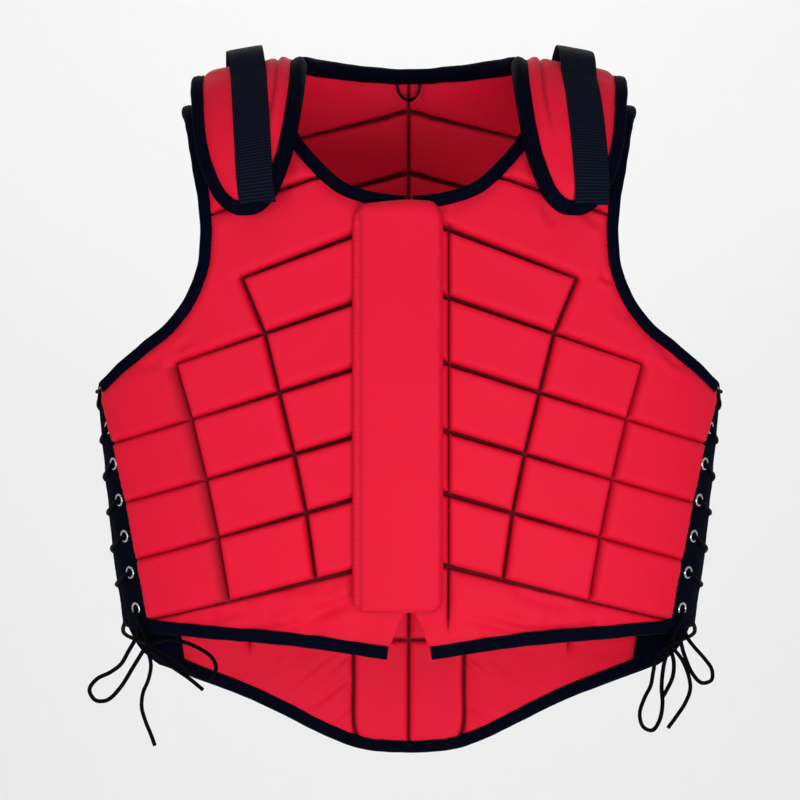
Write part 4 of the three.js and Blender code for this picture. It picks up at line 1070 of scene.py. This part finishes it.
# Laced sides: flaps of doubled navy cloth are sewn under the side edges of front and back, with a row
# of steel eyelets each. A black braided cord crosses between them and ends in a bow at the bottom.
FLAP_THICK = 0.0024
FLAP_TOP = -0.226
FLAP_BOTTOM = {FRONT: -0.417, BACK: -0.446}
FLAP_EDGE = 0.012
FLAP_GAP = 0.0009
EYELET_TOP = 0.234
EYELET_PITCH = 0.0278
EYELETS = [-EYELET_TOP - k * EYELET_PITCH for k in range(7)]
EYELET_SHARE = 0.3
EYELET_HOLE = 0.0030


def flap_point(share, height, face):
    width = trunk_width(height)
    depth = trunk_depth(height, face)
    seam_x = side_edge(height) + FLAP_GAP
    seam_y = np.abs(trunk_point(seam_x, height, face, 0)[..., 1])
    seam = np.arcsin(np.minimum((seam_y / depth) ** (ROUNDNESS / 2), 1))
    edge = np.arcsin(np.minimum((FLAP_EDGE / depth) ** (ROUNDNESS / 2), 1))
    angle = seam + (edge - seam) * share
    x = width * np.cos(angle) ** (2 / ROUNDNESS)
    y = face * depth * np.abs(np.sin(angle)) ** (2 / ROUNDNESS)
    return np.stack(np.broadcast_arrays(x, y, height), -1)


def flap_width(height, face):
    middle = flap_point(0.5, height, face)
    return np.linalg.norm(middle - flap_point(0.0, height, face), axis=-1) + np.linalg.norm(
        middle - flap_point(1.0, height, face), axis=-1)


def flap_surface(face):
    return lambda u, v: flap_point(u / flap_width(v, face), v, face)


def flap(face, name):
    """Doubled cloth with a round top corner. The back one slants at the bottom, where its facing is
    turned over the panel's inner side."""
    bottom = FLAP_BOTTOM[face]
    outward = 1 if face == FRONT else -1
    slant = 0.018 if face == BACK else 0.0

    def surface(u, v):
        wide = flap_width(v, face)
        at = flap_point(np.maximum(u / wide, -0.001), v, face)
        over = np.minimum(u, 0)
        ahead = (flap_point(0.02, v, face) - flap_point(0.0, v, face)) / (0.02 * wide)[..., None]
        inward = np.stack([-np.ones_like(u), np.zeros_like(u), np.zeros_like(u)], -1)
        lie = np.clip(-over / 0.003, 0, 1)
        facing = (inward * 0.62 + [0, -0.78 * face, 0]) * (0.0115 * lie)[..., None]
        return at + ahead * over[..., None] + facing

    top, corner = FLAP_TOP, 0.013
    wide_top = float(flap_width(np.array(top), face))
    turn = np.radians(np.linspace(0, 90, 6))
    rising = np.linspace(bottom + slant * 1.6, top - corner, 34)
    right = [(float(flap_width(np.array(h), face)), h) for h in rising]
    round_top = [(wide_top - 0.009 * (1 - math.cos(a)), top - corner + corner * math.sin(a)) for a in turn]
    left = [(0.0, h) for h in np.linspace(top, bottom + slant * 2.2, 30)]
    wide_low = float(flap_width(np.array(bottom), face))
    if face == BACK:
        low = [(-0.004, bottom + 0.036), (-0.010, bottom + 0.020), (-0.014, bottom - 0.002),
               (-0.010, bottom - 0.009), (0.0, bottom - 0.005), (wide_low * 0.45, bottom + 0.006),
               (wide_low * 0.8, bottom + 0.017)]
    else:
        low = [(0.0, bottom), (wide_low * 0.5, bottom), (wide_low * 0.92, bottom + 0.001)]
    outline = np.array(right + round_top + left + low)

    def thick(flat, body, base, to_edge):
        hem = 0.0005 * np.exp(-((to_edge - 0.004) / 0.003) ** 2)
        hem = hem - 0.0003 * np.exp(-((to_edge - 0.0075) / 0.001) ** 2)
        soft = 0.0005 * waves(flat, 0.03, 17)
        size = FLAP_THICK / 2 * np.sqrt(np.clip(to_edge / 0.0012, 0.15, 1))
        return size + hem + soft, size - soft, np.zeros(len(flat))

    return sheet_mesh(name, outline, surface, outward, thick, 0.0024, [], arc=False)


for face, word in ((FRONT, "front"), (BACK, "back")):
    right = flap(face, f"{word}_flap_right_cloth")
    right.data.materials.append(navy_tape)
    left = mirror_object(right, f"{word}_flap_left_cloth")
    size = (float(flap_width(np.array(-0.3), face)), FLAP_TOP - FLAP_BOTTOM[face])
    for cloth, side in ((right, "right"), (left, "left")):
        finished(cloth, None, "navy_tape", f"{word}_flap_{side}")


def eyelet(name, face, height, side):
    """A ring with a short barrel through the cloth and a rolled front edge; points are radius and height."""
    surface = flap_surface(face)
    u = EYELET_SHARE * float(flap_width(np.array(height), face))
    place = surface(np.array([u]), np.array([height]))[0]
    n = normals(surface, np.array([u]), np.array([height]), 1 if face == FRONT else -1)[0]
    a = np.cross(n, [0, 0, 1.0])
    a /= np.linalg.norm(a)
    b = np.cross(n, a)
    pts, faces = [], []
    turns = 28
    section = [(EYELET_HOLE, -0.0018), (0.0047, -0.0018), (0.0050, -0.0014), (0.0050, -0.0010),
               (0.0050, 0.0011)]
    for t in np.linspace(0, math.pi, 8):
        section.append((0.0040 + 0.0010 * math.cos(t), 0.0013 + 0.0008 * math.sin(t)))
    for k in range(turns):
        w = 2 * math.pi * k / turns
        radial = a * math.cos(w) + b * math.sin(w)
        for r, h in section:
            pts.append(place + radial * r + n * h)
    m = len(section)
    for k in range(turns):
        for i in range(m):
            j = (i + 1) % m
            k2 = (k + 1) % turns
            faces.append((k * m + i, k * m + j, k2 * m + j, k2 * m + i))
    pts = np.array(pts)
    pts[:, 0] *= side
    return face_out(make_object(name, pts, faces))


for side, word in ((1, "right"), (-1, "left")):
    for k, height in enumerate(EYELETS):
        ring = eyelet(f"front_eyelet_{k + 1}_{word}_ring", FRONT, height, side)
        finished(ring, steel, "eyelet_steel", f"front_eyelet_{k + 1}_{word}")
        ring = eyelet(f"back_eyelet_{k + 1}_{word}_ring", BACK, height, side)
        finished(ring, steel, "eyelet_steel")

LACE = 0.0034
LACE_LIFT = 0.0034
RIBS_PER_METRE = 1500
# A crossing: share of the way down to the next eyelet, share of the flap's width, height over the flap
LACE_OVER = [(0.07, 0.38, 0.0028), (0.22, 0.6, 0.0026), (0.33, 0.85, 0.0024), (0.4, 1.0, 0.0019)]
LACE_UNDER = [(0.6, 1.0, -0.0024), (0.7, 0.8, -0.0029), (0.85, 0.5, -0.0031), (0.95, 0.34, -0.0034)]
KNOT = 0.008
CLEARANCE = 0.0005
KNOT_REACH = KNOT / 2 + CLEARANCE


def knot_place(side):
    surface = flap_surface(FRONT)
    low = np.array([FLAP_BOTTOM[FRONT]])
    place = surface(EYELET_SHARE * flap_width(low, FRONT), low)[0] + [-0.0075, -0.008, -0.012]
    return place * [side, 1, 1]


def strand(start_face):
    over = start_face == FRONT

    def place(face, share, height, lift):
        surface = flap_surface(face)
        h = np.array([height])
        u = share * flap_width(h, face)
        n = normals(surface, u, h, 1 if face == FRONT else -1)[0]
        return surface(u, h)[0] + n * lift

    def middle(height, lift):
        return (place(FRONT, 1, height, lift) + place(BACK, 1, height, lift)) / 2

    points, face = [], start_face
    for k, height in enumerate(EYELETS):
        if k == 0 and over:
            points.append(middle(height, 0.0012))
            points.append(place(face, 1, height, 0.002))
        if k > 0:
            points.append(place(face, EYELET_SHARE, height, -0.0020))
        points.append(place(face, EYELET_SHARE, height, LACE_LIFT - 0.0012))
        if k == len(EYELETS) - 1:
            centre = knot_place(1)
            low = FLAP_BOTTOM[FRONT] - 1.2 * LACE
            around = []
            if face == BACK:
                around = [place(BACK, 0.75, (low + height) / 2, LACE_LIFT), middle(low, LACE_LIFT)]
            lead = (around[0] if around else points[-1]) - centre
            return points + around + [centre + lead / np.linalg.norm(lead) * KNOT_REACH]
        for along, share, lift in LACE_OVER:
            points.append(place(face, share, height - along * EYELET_PITCH, lift))
        points.append(middle(height - 0.5 * EYELET_PITCH, 0.0014 if over else -0.0020))
        for along, share, lift in LACE_UNDER:
            points.append(place(-face, share, height - along * EYELET_PITCH, lift))
        face = -face


def tube(name, route, diameter, step=0.0011, sides=12, braid=0.00012, end_bulge=0.07):
    """A round braided cord along a route, with the braid's slanting ribs in its surface."""
    length = np.linalg.norm(np.diff(route, axis=0), axis=1).sum()
    count = max(8, int(length / step))
    line = catmull(route, count)
    tangent = np.gradient(line, axis=0)
    tangent /= np.linalg.norm(tangent, axis=1, keepdims=True)
    normal = np.cross(tangent[0], [0.3, 0.2, 1.0])
    normal /= np.linalg.norm(normal)
    pts = []
    for k in range(len(line)):
        normal = normal - tangent[k] * (normal @ tangent[k])
        normal /= np.linalg.norm(normal)
        other = np.cross(tangent[k], normal)
        turned = k * step * RIBS_PER_METRE
        for i in range(sides):
            w = 2 * math.pi * i / sides
            rib = math.sin(2 * w + turned) * math.sin(2 * w - turned)
            r = diameter / 2 - braid * (1 - rib)
            pts.append(line[k] + (normal * math.cos(w) + other * math.sin(w)) * r)
    faces = []
    rows = len(line)
    for k in range(rows - 1):
        for i in range(sides):
            j = (i + 1) % sides
            faces.append((k * sides + i, k * sides + j, (k + 1) * sides + j, (k + 1) * sides + i))
    pts.append(line[0] - tangent[0] * diameter * end_bulge)
    pts.append(line[-1] + tangent[-1] * diameter * end_bulge)
    first, last = len(pts) - 2, len(pts) - 1
    for i in range(sides):
        j = (i + 1) % sides
        faces.append((j, i, first))
        faces.append(((rows - 1) * sides + i, (rows - 1) * sides + j, last))
    return face_out(make_object(name, pts, faces)), line


lacing, _ = tube("side_lace_right_cord", np.array(strand(FRONT)[::-1] + strand(BACK)), LACE)
lacing.data.materials.append(black_cord)
finished(lacing, None, "black_lace", "side_lace_right")
finished(mirror_object(lacing, "side_lace_left_cord"), None, "black_lace", "side_lace_left")

# Free ends and bow loops, in millimetres from the knot of their own side
LOOSE = {
    "lace_loop_outer_left": (-1, True, False, [
        (-3.2, -0.9, -2.6), (-11.5, -2, -16), (-21.5, -3, -32), (-31.5, -3.5, -41.5), (-40.5, -4, -41.5),
        (-45, -4, -33.5), (-39.5, -3, -25.5), (-29.5, -1, -20.5), (-21.5, 2, -14.5), (-16, 5, -5),
        (-11, 7.5, 4), (-8.5, 8, 11.3)]),
    "lace_loop_inner_left": (-1, True, True, [
        (3.4, -1.5, 2.1), (15.5, -3, 5), (27.5, -5, 3), (39.5, -5.5, -2), (49, -5, -9), (52, -4, -17.5),
        (46.5, -3, -25), (37.5, -2, -23.5), (26.5, -1, -15), (15.5, 0, -7.5), (4.1, 0.4, -1.3)]),
    "lace_end_outer_left": (-1, True, False, [
        (-0.2, -1.9, -3.9), (2, -3, -15), (0, -3.5, -26), (-4, -4, -36), (-5, -4, -47), (-2, -3.5, -58),
        (2, -3, -68), (5, -2.5, -76.5)]),
    "lace_end_inner_left": (-1, True, False, [
        (1.1, 2.4, -3.4), (10, 6.5, -11), (20, 6.5, -18.5), (31, 6, -26), (41.5, 5, -34.5)]),
    "lace_loop_inner_right": (1, True, True, [
        (-3.8, -1.3, -1.5), (-10.5, -3.5, -9), (-13, -5, -20), (-15, -6.5, -30), (-20, -7, -40),
        (-23.5, -7, -52), (-20.5, -6, -62), (-13.5, -4.5, -64.5), (-8, -3, -57), (-5.5, -0.5, -45),
        (-6, 2, -32), (-4.5, 3, -17), (-1.6, 1.4, -3.7)]),
    "lace_end_outer_right": (1, True, False, [
        (3.3, -0.8, -2.7), (9.5, -2, -11), (14, -3, -22), (15.5, -3.5, -33), (11.5, -3.5, -44),
        (5, -3, -54), (-1.5, -2.5, -63)]),
    "lace_end_inner_right": (1, True, False, [
        (0.5, -3.3, -2.8), (2.5, -8, -12), (1.5, -10, -23), (-2.5, -10.5, -32), (-6.5, -10.5, -39)]),
    "lace_loop_outer_right": (1, False, False, [
        (8.3, 8, 11.3), (9.5, 7, 1), (13, 6, -11), (18, 5, -22), (25, 4.5, -29), (32.5, 5, -27),
        (33, 6.5, -19), (27, 9, -10), (20, 13, -2), (15, 16.5, 5), (13, 17.5, 11.3)]),
}
for name, (side, begins, returns, route) in LOOSE.items():
    route = np.array(route) / 1000
    if begins:
        route[0] *= KNOT_REACH / np.linalg.norm(route[0])
    if returns:
        route[-1] *= KNOT_REACH / np.linalg.norm(route[-1])
    route = route + knot_place(side)
    cord, line = tube(name + "_cord", route, LACE)
    finished(cord, black_cord, "black_lace", name)


def knot_mesh(name, side):
    """The bow's knot: cord wound once round the crossing, pulled tight."""
    centre = knot_place(side)
    pts, faces = [], []
    rows, cols = 26, 34
    for i in range(rows + 1):
        v = math.pi * i / rows
        for j in range(cols):
            u = 2 * math.pi * j / cols
            rib = 0.00034 * math.sin(3 * v + 2 * u) - 0.0003 * abs(math.sin(1.5 * v + u))
            r = KNOT / 2 - 0.0001 + rib
            flat = r * math.sin(v)
            pts.append(centre + [flat * math.cos(u), flat * math.sin(u), r * math.cos(v)])
    for i in range(rows):
        for j in range(cols):
            k = (j + 1) % cols
            faces.append((i * cols + j, i * cols + k, (i + 1) * cols + k, (i + 1) * cols + j))
    return face_out(make_object(name, np.array(pts), faces))


for side, word in ((1, "right"), (-1, "left")):
    finished(knot_mesh(f"lace_knot_{word}_cord", side), black_cord, "black_lace", f"lace_knot_{word}")

# Hanging loop: a short bow of narrow navy tape, sewn under the binding at the middle of the back of
# the neck, inside. It hangs down in a round bend.
HANG_WIDTH = 0.016
HANG_TAPE = 0.004
HANG_THICK = 0.0021
HANG_GAP = 0.0023


def hanger():
    top = back_neck[len(back_neck) // 2]
    run = top[1] - TAPE_WIDTH + 0.004
    at = np.array([0.0]), np.array([run])
    n = normals(back_surface, *at, -1)[0]
    high = back_surface(*at)[0] - n * (FOAM_IN + HANG_GAP)
    count = 40
    angle = np.pi * np.arange(count + 1) / count
    radial = np.stack([np.cos(angle), np.zeros(count + 1), -np.sin(angle) * 1.4], -1)
    place = high + radial * HANG_WIDTH / 2
    place[:, 1] -= 0.002 * np.sin(angle)
    out = radial / np.linalg.norm(radial, axis=1, keepdims=True)
    across = np.tile([0.0, -1.0, 0.0], (count + 1, 1))
    section = [(0.0002, 0), (HANG_TAPE - 0.0002, 0), (HANG_TAPE, 0.0003), (HANG_TAPE, HANG_THICK - 0.0003),
               (HANG_TAPE - 0.0002, HANG_THICK), (0.0002, HANG_THICK), (0, HANG_THICK - 0.0003), (0, 0.0003)]
    pts, faces = swept("", (place, across, out), np.array(section))
    return face_out(make_object("neck_hanger_tape", pts, faces))


finished(hanger(), navy_tape, "navy_tape", "neck_hanger")


# Floor, backdrop and light: a pale floor that curves up into a wall far behind, lit softly from in
# front, with a wide light on the wall, so that the ground behind the protector is nearly white.
def plain(name, color, rough=0.9):
    m = bpy.data.materials.new(name)
    m.use_nodes = True
    s = m.node_tree.nodes["Principled BSDF"]
    s.inputs["Base Color"].default_value = (*color, 1)
    s.inputs["Roughness"].default_value = rough
    return m


FLOOR = -2.2
WALL, WALL_TOP = 7.5, 5.0
BEND = 2.0
bend = [(WALL - BEND + BEND * math.sin(a), FLOOR + BEND * (1 - math.cos(a)))
        for a in np.linspace(0, math.pi / 2, 20)]
line = [(-8.0, FLOOR)] + bend + [(WALL, WALL_TOP)]
points = [(x, y, z) for y, z in line for x in (-8, 8)]
faces = [(2 * k, 2 * k + 1, 2 * k + 3, 2 * k + 2) for k in range(len(line) - 1)]
floor = make_object("floor", points, faces)
floor.data.materials.append(plain("floor_pale", (0.86, 0.86, 0.86)))


def area(name, place, aim, size, power):
    light = bpy.data.lights.new(name, "AREA")
    light.shape = "RECTANGLE"
    light.size, light.size_y = size
    light.energy = power
    obj = bpy.data.objects.new(name, light)
    bpy.context.scene.collection.objects.link(obj)
    obj.location = place
    obj.rotation_euler = (Vector(aim) - Vector(place)).to_track_quat("-Z", "Y").to_euler()
    return obj


area("key", (0.5, -2.0, -0.95), (0, 0, -0.35), (1.2, 0.8), 25)
area("fill", (-1.3, -2.1, -0.1), (0, 0, -0.3), (1.0, 1.0), 11)
area("top", (0, -1.0, 1.9), (0, 0, -0.2), (1.4, 1.0), 4)
area("rim", (0.0, 2.6, 1.2), (0, 0.2, -0.2), (2.0, 1.2), 12)
area("wall", (0.0, 3.0, 2.2), (0, 7.5, 0.2), (6.0, 1.0), 170)
world = bpy.data.worlds.new("world")
bpy.context.scene.world = world
world.use_nodes = True
world.node_tree.nodes["Background"].inputs["Color"].default_value = (1, 1, 1, 1)
world.node_tree.nodes["Background"].inputs["Strength"].default_value = 0.40
bpy.context.scene.view_settings.view_transform = "Standard"
